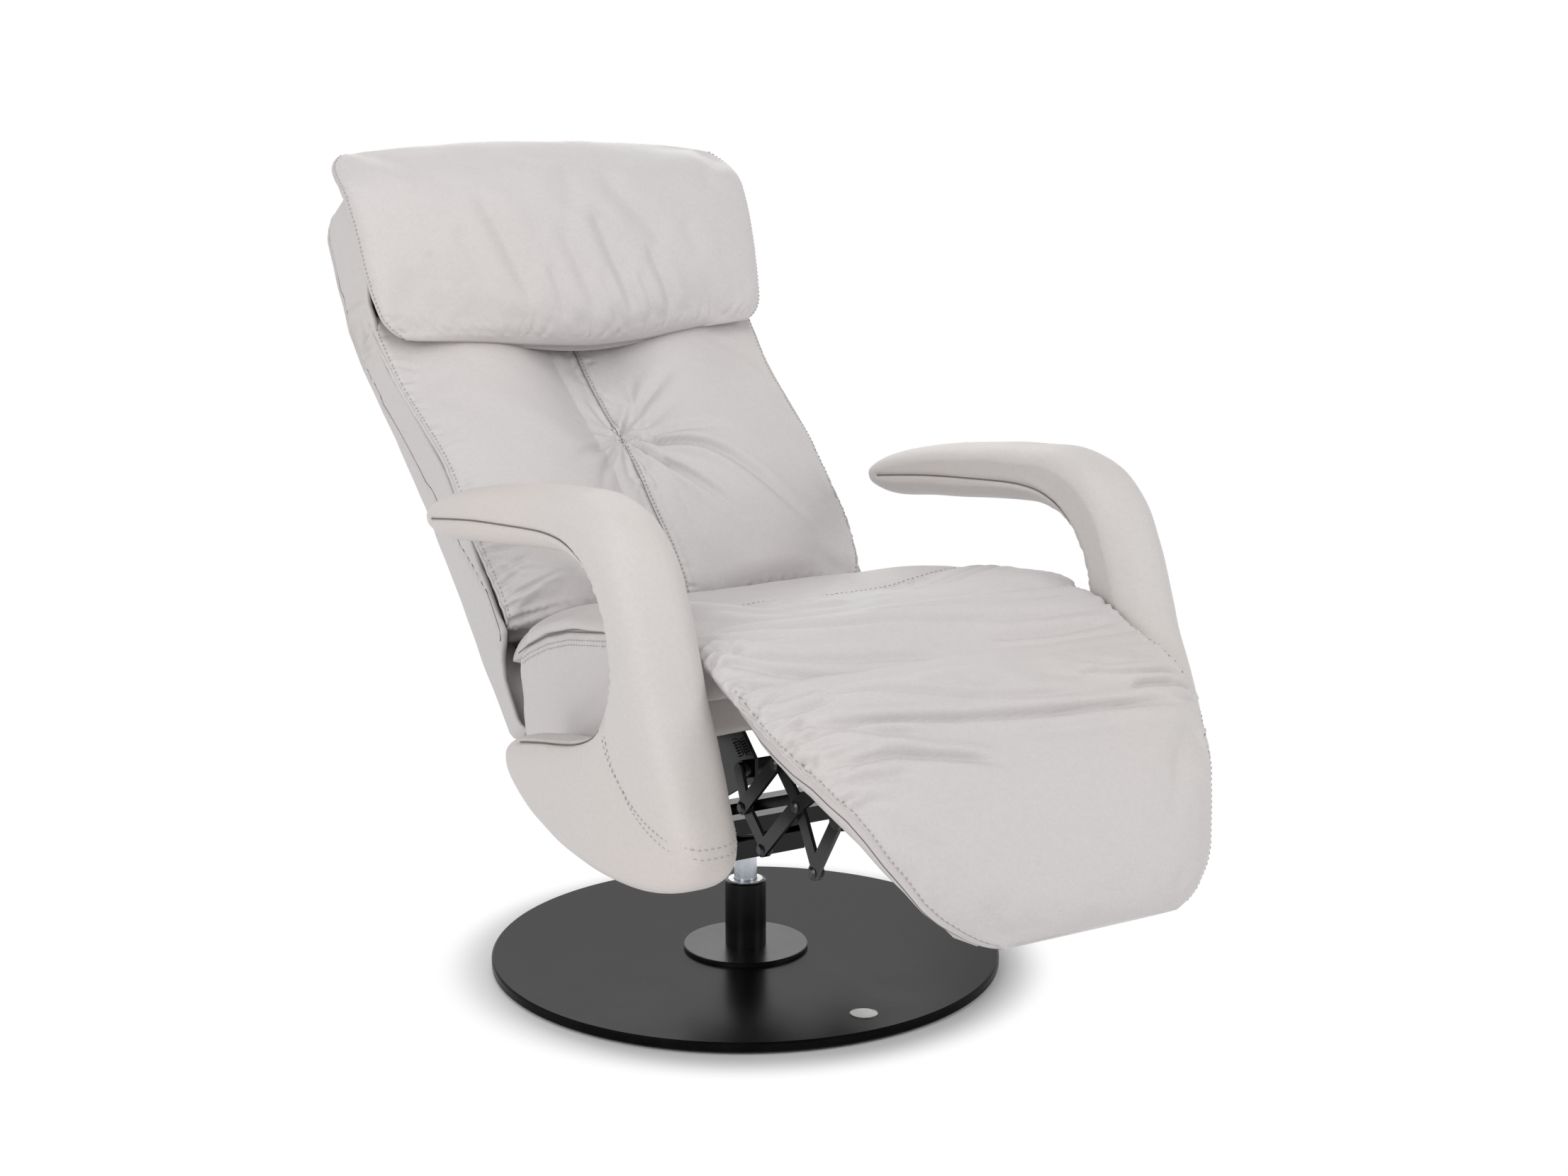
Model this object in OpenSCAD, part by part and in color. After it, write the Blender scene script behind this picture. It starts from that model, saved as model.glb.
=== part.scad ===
// Swivel recliner on a round wooden base, shown reclined with its footrest out.
// The chair faces -Y, +Z is up, and the origin is on the floor under the column.

/* [Base] */
// Radius of the round wooden plate
plate_r = 310; // [250:5:360]
// Thickness of the wooden plate
plate_t = 12; // [10:1:24]
// Thickness of the felt under the plate
felt_t = 3; // [2:0.5:6]
// Radius of the bare metal disc let into the plate
disc_r = 16; // [10:1:24]
// Distance of the disc from the column, towards the front
disc_reach = 262; // [180:2:270]

/* [Column] */
// Radius of the steel flange on the plate
flange_r = 76; // [60:1:110]
// Thickness of the flange
flange_t = 5; // [4:1:10]
// Outer radius of the column tube
tube_r = 25; // [22:1:32]
// Wall of the column tube
tube_wall = 4; // [2:0.5:6]
// Height of the tube above the flange
tube_h = 81; // [60:1:160]
// Radius of the turning shaft
shaft_r = 14; // [10:1:17]
// Bare length of shaft between the tube and the bracket
shaft_gap = 39; // [10:1:60]

/* [Bracket and side plates] */
// Half width of the folded bracket on the shaft
bracket_w = 60; // [45:1:80]
// Length of the folded bracket, front to back
bracket_l = 80; // [70:1:110]
// Height of the bracket's folded sides
bracket_h = 30; // [22:1:50]
// Sheet thickness of the bracket
bracket_t = 5; // [3:0.5:8]
// Size of the square cross tubes
cross_size = 20; // [14:1:26]
// Wall of the cross tubes
cross_wall = 2.5; // [1.5:0.5:4]
// Distance of the side plates' inner faces from the middle
side_x = 160; // [140:1:166]
// Thickness of the side plates
side_t = 4; // [3:0.5:6]

/* [Seat] */
// Tilt of the seat, front up, in degrees
seat_tilt = 8; // [4:0.5:12]
// Height of the seat surface over the column
seat_z = 453; // [435:1:470]
// Half width of the seat over its side pads
seat_w = 262; // [250:1:266]
// Thickness of the seat cushion in the middle
seat_thick = 74; // [60:1:90]
// Distance of the seat frame's front face from the column
frame_front = 272; // [260:1:285]
// Distance of the seat frame's rear face from the column
frame_rear = 77; // [60:1:85]
// Half width of the seat frame
frame_w = 240; // [225:1:244]
// Height of the seat frame's rails
rail_h = 40; // [30:1:55]
// Thickness of the seat frame's rails
rail_t = 22; // [18:1:30]
// Number of zigzag springs
spring_count = 5; // [3:1:7]

/* [Arms] */
// Distance of an arm's middle plane from the chair's middle
arm_x = 308; // [300:1:325]
// Half thickness of an arm
arm_w = 43; // [36:1:50]
// Height of the top of the armrest
arm_h = 636; // [600:2:680]
// Height of the side panel's lowest point
panel_low = 241; // [220:2:280]

/* [Back] */
// Angle of the back from upright as modelled, in degrees
recline = 44; // [36:1:46]
// Height of the reclining hinge
hinge_z = 395; // [385:1:405]
// Distance of the reclining hinge behind the column
hinge_y = 172; // [165:1:185]
// Distance from the hinge to the back's rear face
back_deep = 37; // [34:1:44]
// Height of the back from its hinge to the head section
back_l = 477; // [430:2:520]
// Half width of the back at the seat
back_w = 260; // [240:1:264]
// Forward angle of the head section, in degrees
head_kink = 14; // [4:1:24]
// Length of the head section
head_l = 160; // [130:2:200]
// Half width of the head cushion
head_w = 288; // [260:2:300]

/* [Footrest] */
// Distance of the footrest pad's upper edge from the column
pad_y = 408; // [404:1:430]
// Height of the footrest pad's upper edge
pad_z = 455; // [445:1:460]
// Slope of the footrest, in degrees
pad_slope = 40.3; // [36:0.1:46]
// Length of the footrest pad
pad_l = 342; // [300:2:360]
// Half width of the footrest pad at its upper edge
pad_w = 257; // [230:1:260]
// Width of the steel links
link_w = 16; // [12:1:16]
// Thickness of the steel links
link_t = 4; // [3:0.5:5]
// Distance of the inner row of links from the middle
link_x = 172.7; // [170:0.1:176]

/* [Hidden] */

leather = "#d6d1cd";
steel_black = "#1b1b1d";
wood_black = "#232022";
zinc = "#c9ccd0";
wood_pale = "#c8a878";
cloth_black = "#2a2a2c";

// Running clearance of a shaft, and the small gap where two pieces meet
run = 0.05;
seat_gap = 0.3;

plate_top = felt_t + plate_t;
flange_top = plate_top + flange_t;
tube_top = flange_top + tube_h;
tube_bore = tube_r - tube_wall;
thrust_t = 4;
ring_t = 3;
ring_rise = 1;
bush_l = 18;
bracket_z = tube_top + ring_rise + shaft_gap;
boss_r = shaft_r + 10;
boss_h = 20;
spigot_r = shaft_r - 6;
nut_h = 10;
bracket_top = bracket_z + bracket_h;
cross_front = -bracket_l / 2 + cross_size / 2;
cross_rear = bracket_l / 2 - cross_size / 2;

// A point on the seat's tilted frame, as world height at a distance y from the column
seat_floor = -seat_thick - rail_h;
function seat_under(y) = seat_z - y * tan(seat_tilt) + seat_floor / cos(seat_tilt);

// Linkage pivots as [y, z], in the footrest's open position
pivot_g = [-282, 333];
pivot_b = pivot_g + [-14, -37];
pivot_c = pivot_b + [-40, -36];
arm_step = [-67, 64];
pivot_a = pivot_b + arm_step;
pivot_d = pivot_c + arm_step;
pivot_e = pivot_d + [-34, -61];
pivot_f = pivot_e + [-45, 68];
pivot_k = pivot_d + 50 * [cos(145), sin(145)];
link_gap = 0.6;
outer_x = link_x + link_t + link_gap;
rivet_r = 4;
rivet_head_r = 6.5;
rivet_head_h = 2.4;
torque_r = 10;
torque_wall = 2.5;

board_t = 12;
board_drop = 8;
side_pad_least = 18;
seat_out = max(seat_w, frame_w + side_pad_least);
arm_inner = seat_out + 4.3;
pad_side_x = frame_w + seat_gap;

kink_n = 20;
shell_t = 22;
lip_t = 20;
frame_n = shell_t + seat_gap;
frame_deep = 17.7;
cushion_n = frame_n + frame_deep + seat_gap;
upright_w = 30;
upright_out = frame_w - 30;
upright_in = upright_out - upright_w;
back_rail = 34;
rail_mid = 190;
head_gap = 8;

// Surface helpers: a skin is made from rings that all have the same number of points
function flat_list(rings) = [for (ring = rings) for (p = ring) p];
function middle(ring) = [for (k = [0:2]) [for (p = ring) p[k]] * [for (p = ring) 1] / len(ring)];
function span(a, b, t) = a + (b - a) * t;
function soft(t, p) = sign(t) * pow(abs(t), 2 / p);
function bump(t, wide) = exp(-t * t / (wide * wide));

// Catmull-Rom curve through a list of stations, at the parameter s from 0 to 1
function through(list, s) =
    let (n = len(list) - 1, at = min(s * n, n - 0.00001), i = floor(at), t = at - i)
    let (a = list[max(i - 1, 0)], b = list[i], c = list[i + 1], d = list[min(i + 2, n)])
    0.5 * (2 * b + (c - a) * t + (2 * a - 5 * b + 4 * c - d) * t * t + (3 * b - a - 3 * c + d) * t * t * t);

function ring_normal(ring) = middle([for (j = [0:len(ring) - 1])
    cross(ring[j] - ring[0], ring[(j + 1) % len(ring)] - ring[0])]);
function turned(faces, flip) = flip ? [for (f = faces) [for (k = [len(f) - 1:-1:0]) f[k]]] : faces;

module skin(rings, hollow = false) {
    m = len(rings[0]);
    n = len(rings);
    first = n * m;
    last = first + 1;
    half = floor(n / 2);
    flip = ring_normal(rings[half]) * (middle(rings[half + 1]) - middle(rings[half])) > 0;
    polyhedron(
        points = concat(flat_list(rings), hollow ? [] : [middle(rings[0]), middle(rings[n - 1])]),
        faces = turned(concat(
            [for (i = [0:n - 2]) for (j = [0:m - 1]) [i * m + j, i * m + (j + 1) % m, (i + 1) * m + j]],
            [for (i = [0:n - 2]) for (j = [0:m - 1])
                [i * m + (j + 1) % m, (i + 1) * m + (j + 1) % m, (i + 1) * m + j]],
            hollow ? [[for (j = [m - 1:-1:0]) j]] : [for (j = [0:m - 1]) [first, (j + 1) % m, j]],
            hollow ? [[for (j = [0:m - 1]) (n - 1) * m + j]]
                : [for (j = [0:m - 1]) [last, (n - 1) * m + j, (n - 1) * m + (j + 1) % m]]), flip));
}

module both_sides() {
    children();
    mirror([1, 0, 0]) children();
}

// Places for the three tilted groups
module seat_place() {
    translate([0, 0, seat_z]) rotate([-seat_tilt, 0, 0]) children();
}
module back_place() {
    translate([0, hinge_y, hinge_z]) rotate([-recline, 0, 0]) translate([0, back_deep, 0]) children();
}
module head_place() {
    back_place() translate([0, -kink_n, back_l]) rotate([head_kink, 0, 0]) translate([0, kink_n, 0]) children();
}
module pad_place() {
    translate([0, -pad_y, pad_z]) rotate([pad_slope, 0, 0]) children();
}

// Turns an outline drawn as [y, z] into a plate of thickness t that starts at distance x
module side_plate_at(x, t) {
    translate([x, 0, 0]) rotate([90, 0, 90]) linear_extrude(t) children();
}

module base_plate() {
    color(wood_black) difference() {
        translate([0, 0, felt_t]) rotate_extrude($fn = 180)
            polygon([[0, 0], [plate_r - 1.5, 0], [plate_r, 1.5], [plate_r, plate_t - 2],
                [plate_r - 2, plate_t], [0, plate_t]]);
        translate([0, -disc_reach, plate_top - 1.5]) cylinder(r = disc_r + 0.2, h = 3, $fn = 64);
        for (i = [0:3]) rotate(45 + 90 * i) translate([flange_r * 0.7, 0, 0]) {
            translate([0, 0, felt_t - 1]) cylinder(r = 4.2, h = plate_t + 2, $fn = 32);
            translate([0, 0, felt_t - 1]) cylinder(r = 8.2, h = 6, $fn = 32);
        }
    }
}

module floor_pad() {
    color("#3a3a3a") cylinder(r = plate_r - 12, h = felt_t - seat_gap / 2, $fn = 120);
}

module base_disc() {
    color("silver") translate([0, -disc_reach, plate_top - 1.5]) rotate_extrude($fn = 64)
        polygon([[0, 0], [disc_r, 0], [disc_r, 2.1], [disc_r - 0.8, 2.6], [disc_r - 2, 2.3], [0, 2.3]]);
}

module flange() {
    color(steel_black) difference() {
        translate([0, 0, plate_top]) rotate_extrude($fn = 120)
            polygon([[0, 0], [flange_r, 0], [flange_r, flange_t - 1], [flange_r - 1, flange_t], [0, flange_t]]);
        for (i = [0:3]) rotate(45 + 90 * i) translate([flange_r * 0.7, 0, plate_top - 1])
            cylinder(r = 4.05, h = flange_t, $fn = 32);
    }
}

module flange_screws() {
    color(zinc) for (i = [0:3]) rotate(45 + 90 * i) translate([flange_r * 0.7, 0, felt_t + 0.5]) {
        difference() {
            cylinder(r = 7.5, h = 4, $fn = 48);
            translate([0, 0, -1]) cylinder(r = 3, h = 3, $fn = 6);
        }
        cylinder(r = 4, h = plate_t + flange_t - 2, $fn = 32);
    }
}

module column_tube() {
    color(steel_black) translate([0, 0, flange_top]) rotate_extrude($fn = 96)
        polygon([[tube_bore, 0], [tube_r, 0], [tube_r, tube_h - 1.5], [tube_r - 1.5, tube_h], [tube_bore, tube_h]]);
}

module bush(z) {
    translate([0, 0, z]) difference() {
        cylinder(r = tube_bore - run, h = bush_l, $fn = 64);
        translate([0, 0, -1]) cylinder(r = shaft_r + run, h = bush_l + 2, $fn = 64);
    }
}

module column_bushes() {
    color("#d8d2b8") {
        bush(flange_top + thrust_t + 2);
        bush(tube_top + ring_rise - ring_t - bush_l);
    }
}

module column_ring() {
    color(zinc) translate([0, 0, tube_top + ring_rise - ring_t]) difference() {
        cylinder(r = tube_bore - run, h = ring_t, $fn = 64);
        translate([0, 0, -1]) cylinder(r = shaft_r + 0.6, h = ring_t + 2, $fn = 64);
    }
}

module thrust_disc() {
    color("#d8d2b8") translate([0, 0, flange_top]) cylinder(r = tube_bore - run, h = thrust_t, $fn = 64);
}

module pivot_shaft() {
    top = bracket_z + boss_h - 0.5;
    color(zinc) {
        translate([0, 0, flange_top + thrust_t + 0.1])
            cylinder(r = shaft_r, h = top - flange_top - thrust_t - 0.1, $fn = 64);
        translate([0, 0, top]) cylinder(r = spigot_r, h = nut_h + 5, $fn = 48);
    }
}

module shaft_nut() {
    color(zinc) translate([0, 0, bracket_z + boss_h + 0.1]) difference() {
        union() {
            cylinder(r = boss_r - 2, h = 2, $fn = 48);
            translate([0, 0, 2]) cylinder(r = spigot_r + 5, h = nut_h, $fn = 6);
        }
        translate([0, 0, -1]) cylinder(r = spigot_r + run, h = nut_h + 4, $fn = 48);
    }
}

module swivel_bracket() {
    front = -bracket_l / 2;
    color(steel_black) translate([0, 0, bracket_z]) difference() {
        union() {
            translate([-bracket_w, front, 0]) cube([2 * bracket_w, bracket_l, bracket_t]);
            both_sides() side_plate_at(bracket_w - bracket_t, bracket_t) polygon([[front, 4],
                [front + 4, 0], [front + bracket_l - 4, 0], [front + bracket_l, 4],
                [front + bracket_l, bracket_h], [front, bracket_h]]);
            for (y = [front, -front - bracket_t]) translate([-bracket_w + 2, y, 0])
                cube([2 * bracket_w - 4, bracket_t, bracket_h * 0.75]);
            cylinder(r = boss_r, h = boss_h, $fn = 64);
        }
        translate([0, 0, -1]) cylinder(r = shaft_r + run, h = boss_h + 2, $fn = 64);
    }
}

module cross_tubes() {
    len_x = 2 * (side_x - seat_gap);
    color(steel_black) for (y = [cross_front, cross_rear]) translate([0, y, bracket_top + seat_gap + cross_size / 2])
        difference() {
            cube([len_x, cross_size, cross_size], center = true);
            cube([len_x + 2, cross_size - 2 * cross_wall, cross_size - 2 * cross_wall], center = true);
        }
}

module side_plates() {
    low = bracket_top - 8;
    color(steel_black) both_sides() difference() {
        side_plate_at(side_x, side_t) polygon([[cross_rear + 18, low], [frame_rear - 12, seat_under(frame_rear - 12) - seat_gap],
            [-frame_front + 6, seat_under(-frame_front + 6) - seat_gap], [-frame_front - 24, pivot_g[1] + 14],
            [-frame_front - 24, pivot_g[1] - 12], [-frame_front + 8, pivot_g[1] - 26],
            [cross_front - 60, low + 46], [cross_front - 20, low]]);
        translate([side_x - 1, pivot_g[0], pivot_g[1]]) rotate([0, 90, 0]) cylinder(r = torque_r + run, h = side_t + 2, $fn = 48);
        for (y = [-160, -70, 20]) translate([side_x - 1, y, seat_under(y) - 46]) rotate([0, 90, 0])
            cylinder(r = 17, h = side_t + 2, $fn = 40);
    }
}

module seat_frame() {
    color(wood_pale) seat_place() difference() {
        translate([-frame_w, -frame_front, seat_floor]) cube([2 * frame_w, frame_front + frame_rear, rail_h]);
        translate([-frame_w + rail_t, -frame_front + rail_t, seat_floor - 1])
            cube([2 * (frame_w - rail_t), frame_front + frame_rear - 2 * rail_t, rail_h + 2]);
        both_sides() for (y = arm_bolt_y) translate([frame_w - rail_t - 1, y, seat_floor + rail_h / 2])
            rotate([0, 90, 0]) cylinder(r = 4.2, h = rail_t + 2, $fn = 32);
    }
}

arm_bolt_y = [-225, -150, -75];
arm_bolt_l = 56;

module arm_bolts() {
    color(zinc) seat_place() both_sides() for (y = arm_bolt_y)
        translate([frame_w - rail_t - seat_gap, y, seat_floor + rail_h / 2]) rotate([0, 90, 0]) {
            cylinder(r = 4, h = arm_bolt_l, $fn = 32);
            translate([0, 0, -5]) cylinder(r = 9, h = 5, $fn = 6);
        }
}

// One zigzag spring as a flat band that runs from front to back
module zigzag(long, wide, turns, band) {
    step = long / turns;
    for (i = [0:turns - 1]) {
        side = i % 2 == 0 ? -1 : 1;
        translate([side * wide / 2 - band / 2, i * step, 0]) square([band, step + band / 2]);
        if (i < turns - 1) translate([-wide / 2 - band / 2, (i + 1) * step - band / 2]) square([wide + band, band]);
    }
    translate([-wide / 2 - band / 2, 0]) square([wide / 2, band]);
}

module seat_springs() {
    inside = frame_front + frame_rear - 2 * rail_t - 2 * seat_gap;
    pitch = 2 * (frame_w - rail_t) / (spring_count + 1);
    color("#6e6f72") seat_place() for (i = [1:spring_count])
        translate([-frame_w + rail_t + i * pitch, -frame_front + rail_t + seat_gap, -seat_thick - 14])
            linear_extrude(4) zigzag(inside - 3, 44, 13, 4);
}

module seat_lining() {
    color(cloth_black) seat_place() translate([-frame_w + rail_t + seat_gap, -frame_front + rail_t + seat_gap, seat_floor + 3])
        cube([2 * (frame_w - rail_t - seat_gap), frame_front + frame_rear - 2 * (rail_t + seat_gap), 1.5]);
}

module seat_apron() {
    color(leather) seat_place() translate([0, -frame_front - seat_gap - 8, seat_floor - 2]) rotate([90, 0, 90])
        translate([0, 0, -frame_w + 2]) linear_extrude(2 * (frame_w - 2))
            polygon([[8, 0], [8, rail_h + 1.7], [2, rail_h + 1.7], [0, rail_h - 4], [1, 5], [4, 0]]);
}

// Upholstered side of the seat box, rounded at its rear end
module seat_side() {
    thick = seat_out - frame_w - seat_gap + 4;
    top = -36;
    difference() {
        translate([pad_side_x, 0, 0]) side_plate_at(0, thick)
            polygon(concat([[-frame_front - 12, seat_floor - 2], [-frame_front - 12, top]],
                [[-60, top]],
                [for (a = [90:-15:0]) [frame_rear - 66 + 66 * cos(a), -88 + (88 + top) * sin(a)]],
                [[frame_rear - 6, seat_floor + 14], [frame_rear - 20, seat_floor - 10], [-40, seat_floor - 10]]));
        for (y = arm_bolt_y) translate([pad_side_x - 1, y, seat_floor + rail_h / 2]) rotate([0, 90, 0])
            cylinder(r = 4.2, h = thick + 2, $fn = 32);
    }
}
module seat_side_left() {
    color(leather) seat_place() seat_side();
}
module seat_side_right() {
    color(leather) seat_place() mirror([1, 0, 0]) seat_side();
}

// Seat cushion: crowned top, rounded front, drawn-in sides and a step over the side pads
function seat_ring(s) =
    let (y0 = -frame_front - 34, y1 = frame_rear + 52, y = span(y0, y1, s))
    let (near = y - y0, far = y1 - y)
    let (round_front = near < 46 ? 1 - sqrt(max(0, 1 - pow(1 - near / 46, 2))) : 0)
    let (round_rear = far < 40 ? 1 - sqrt(max(0, 1 - pow(1 - far / 40, 2))) : 0)
    let (fall = 26 * round_front + 46 * round_rear)
    let (inset = near < 24 ? 10 * pow(1 - near / 24, 2) : 0)
    let (wide = seat_out - inset - 16 * smooth((y - frame_rear + 90) / 90), step_x = frame_w - 0.8)
    let (base = -seat_thick + seat_gap, step_z = -35 - 19 * smooth((y - frame_rear + 21) / 20))
    let (top = [for (j = [0:16]) let (t = 180 - j * 11.25, x = wide * soft(cos(t), 5))
        [x, y, step_z + (-step_z - 8 - fall) * soft(sin(t), 3.2) + (8 + 4 * bump(x, 140)) * sin(t) * (1 - round_front)]])
    concat(top, [[step_x, y, step_z], [step_x - 2, y, base], [0, y, base], [-step_x + 2, y, base], [-step_x, y, step_z]]);
function smooth(t) = let (u = max(0, min(1, t))) u * u * (3 - 2 * u);

module seat_cushion() {
    color(leather) seat_place() skin([for (i = [0:30]) seat_ring(i / 30)]);
}

// Knee flap: a soft roll that bridges the seat's front edge and the footrest pad
function flap_point(s, t) =
    let (rear = -frame_front - 37, front = -pad_y + 0.8, z = span(seat_z + 35, pad_z + 4, pow(s, 1.3)))
    let (up = t > 0 ? 10 + 8 * sin(180 * s) : 20, pz = z - 10 + up * soft(sin(t), 3))
    let (slope = s > 0.5 ? (pz - pad_z) * tan(pad_slope) * (2 * s - 1) : 0)
    [(pad_w - 4) * soft(cos(t), 5), span(rear, front, s) - slope, pz];

module knee_flap() {
    color(leather) skin([for (i = [0:8]) [for (j = [0:19]) flap_point(i / 8, 180 - j * 18)]]);
}

// Arm stations as [outer y, outer z, inner y, inner z, thickness share], from the armrest's
// rear tip over the front bend and down to the side panel's rear end
arm_list = [
    [164, 562, 150, 548, 0.45], [148, 576, 134, 541, 0.78], [104, 594, 98, 538, 0.95],
    [20, 612, 22, 547, 1], [-80, 626, -66, 557, 1], [-165, arm_h - 4, -150, 565, 1],
    [-232, arm_h, -205, 566, 1], [-288, arm_h - 14, -252, 556, 1], [-328, arm_h - 46, -282, 532, 1],
    [-360, arm_h - 98, -298, 500, 1], [-386, arm_h - 160, -302, 466, 1],
    [-412, arm_h - 222, -294, 434, 1], [-440, arm_h - 284, -270, 404, 1],
    [-460, arm_h - 334, -240, 382, 1], [-440, panel_low + 32, -205, 370, 1],
    [-385, panel_low + 10, -176, 362, 1], [-310, panel_low, -150, 357, 1],
    [-230, panel_low + 2, -122, 352, 1], [-155, panel_low + 12, -98, 348, 0.98],
    [-100, panel_low + 30, -76, 344, 0.93], [-64, panel_low + 56, -58, 340, 0.84],
    [-50, panel_low + 80, -50, 334, 0.6]];

function arm_ring(s) =
    let (st = through(arm_list, s), o = [st[0], st[1]], q = [st[2], st[3]], mid = (o + q) / 2, half = (o - q) / 2)
    let (long = norm(half), sharp = long > 55 ? 3.6 : 2.7)
    [for (j = [0:15]) let (t = j * 22.5, a = soft(sin(t), sharp), x = arm_w * st[4] * soft(cos(t), sharp))
        [arm_x + max(x, arm_inner - arm_x), mid[0] + half[0] * a, mid[1] + half[1] * a]];

module arm() {
    difference() {
        skin([for (i = [0:40]) arm_ring(i / 40)]);
        seat_place() for (y = arm_bolt_y) translate([frame_w, y, seat_floor + rail_h / 2]) rotate([0, 90, 0])
            cylinder(r = 4.2, h = arm_bolt_l - rail_t + 2, $fn = 32);
    }
}
module arm_left() {
    color(leather) arm();
}
module arm_right() {
    color(leather) mirror([1, 0, 0]) arm();
}

// Reclining hinge: a plate on the seat rail, a plate on the back's upright and a pin
hinge_boss = 14;
pin_r = 6;
lower_x = frame_w - rail_t - 3.2;
upper_x = upright_out + seat_gap;

// The reclining hinge as seen in the seat's own tilted frame, as [y, z]
hinge_in_seat = [hinge_y * cos(seat_tilt) - (hinge_z - seat_z) * sin(seat_tilt),
    hinge_y * sin(seat_tilt) + (hinge_z - seat_z) * cos(seat_tilt)];
elbow = [hinge_in_seat[0] - 34, seat_floor + rail_h - 12];

module recliner_lower() {
    color(steel_black) seat_place() both_sides() difference() {
        union() {
            side_plate_at(lower_x, 3) hull() {
                translate(hinge_in_seat) circle(r = hinge_boss, $fn = 48);
                translate(elbow) circle(r = 7, $fn = 32);
            }
            side_plate_at(lower_x, 3) hull() {
                translate(elbow) circle(r = 7, $fn = 32);
                translate([frame_rear + seat_gap, seat_floor + 4]) square([3, rail_h - 10]);
            }
            translate([lower_x - 30, frame_rear + seat_gap, seat_floor + 4]) cube([31, 3, rail_h - 10]);
        }
        translate([lower_x - 1, hinge_in_seat[0], hinge_in_seat[1]]) rotate([0, 90, 0])
            cylinder(r = pin_r + run, h = 5, $fn = 48);
    }
}

module recliner_pins() {
    color(zinc) both_sides() translate([upper_x - 0.2, hinge_y, hinge_z]) rotate([0, 90, 0]) {
        cylinder(r = pin_r, h = lower_x + 3.3 - upper_x, $fn = 48);
        translate([0, 0, lower_x + 3.3 - upper_x]) cylinder(r = 10, h = 3, $fn = 48);
    }
}

module recliner_upper() {
    thick = lower_x - upper_x - 0.5;
    color(steel_black) back_place() both_sides() difference() {
        union() {
            side_plate_at(upper_x, thick) hull() {
                translate([-back_deep, 0]) circle(r = hinge_boss - 1, $fn = 48);
                translate([-frame_n - 8, 26]) circle(r = 7, $fn = 32);
            }
            translate([upper_x, -frame_n - 15, 26]) cube([thick, 14, 110]);
        }
        translate([upper_x - 1, -back_deep, 0]) rotate([0, 90, 0]) cylinder(r = pin_r + run, h = 8, $fn = 48);
    }
}

module back_frame() {
    low = -50;
    high = back_l - 22;
    color(wood_pale) back_place() difference() {
        union() {
            both_sides() translate([upright_in, -frame_n - frame_deep, low])
                cube([upright_out - upright_in, frame_deep, high - low]);
            for (z = [low, rail_mid, high - back_rail]) translate([-upright_in - 1, -frame_n - frame_deep, z])
                cube([2 * upright_in + 2, frame_deep, back_rail]);
            both_sides() {
                translate([upright_in + 6, -frame_n - 7, high - 1]) cube([12, 7, 23]);
                translate([upright_in + 6, -kink_n, back_l]) rotate([0, 90, 0]) cylinder(r = 7, h = 12, $fn = 40);
            }
        }
        translate([-upright_out - 20, -kink_n, back_l]) rotate([0, 90, 0])
            cylinder(r = 4.05, h = 2 * upright_out + 40, $fn = 40);
    }
}

module back_straps() {
    upper = rail_mid + back_rail + 22;
    step = (back_l - 22 - back_rail - upper + 1) / 4;
    color(cloth_black) back_place() for (z = [12, 56, 100, 144, upper, upper + step, upper + 2 * step, upper + 3 * step])
        translate([-upright_in + seat_gap, -frame_n - frame_deep + 2, z])
            cube([2 * (upright_in - seat_gap), 2, min(30, step - 3)]);
}

// Half width of the back at the height z above its hinge
function back_half(z) = back_w + 16 * smooth((z - 180) / 300);

// U-shaped shell section: a padded rear panel with a lip along each side
function shell_ring(wide, z, rise, slope) =
    let (deep = frame_n + frame_deep - 0.5, r = 12, in_x = upright_out + 14)
    concat(
        [for (a = [180:30:270]) [-wide + r + r * cos(a), -r + rise - r * sin(a), z]],
        [for (a = [270:30:360]) [wide - r + r * cos(a), -r + rise - r * sin(a), z]],
        [[wide, -deep + 4, z + slope], [wide - 4, -deep, z + slope], [in_x, -deep, z + slope],
            [in_x, -shell_t, z], [-in_x, -shell_t, z],
            [-in_x, -deep, z + slope], [-wide + 4, -deep, z + slope], [-wide, -deep + 4, z + slope]]);

module back_shell() {
    color(leather) back_place() skin([for (z = [-104, -98, -80, -30, 40, 130, 220, back_l - 177, back_l - 107, back_l - 47, back_l - head_gap])
        shell_ring(back_half(z) - (z < -90 ? (z + 90) * -0.6 : 0), z, z < -90 ? (z + 90) * 0.5 : 0, 0)], hollow = true);
}

// Lumbar cushion: two full halves drawn in at a middle seam and at one tuft
function lumbar_front(x, z) =
    let (side = 74 + 30 * smooth((380 - z) / 200) - 10 * smooth((80 - z) / 80))
    side + 14 * bump(abs(x) - 150, 80) - 34 * bump(x, 62) * (0.75 + 0.25 * smooth((z - 20) / 120))
        - 16 * bump(x, 48) * bump(z - 247, 44);
function lumbar_ring(z, low, high) =
    let (up = high - z, down = z - low)
    let (r_top = up < 34 ? sqrt(max(0, 1 - pow(1 - up / 34, 2))) : 1)
    let (r_low = down < 30 ? sqrt(max(0, 1 - pow(1 - down / 30, 2))) : 1)
    let (full = min(r_top, r_low), wide = back_half(z) - 20 * smooth((120 - z) / 130) + 2 - 10 * (1 - full))
    concat(
        [for (j = [0:24]) let (t = 180 - j * 7.5, x = wide * soft(cos(t), 4.4))
            [x, -cushion_n - 6 - (lumbar_front(x, z) - cushion_n - 6) * soft(sin(t), 5) * (0.35 + 0.65 * full), z]],
        [[wide - 6, -cushion_n, z], [wide / 2, -cushion_n, z], [0, -cushion_n, z], [-wide / 2, -cushion_n, z], [-wide + 6, -cushion_n, z]]);

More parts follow.
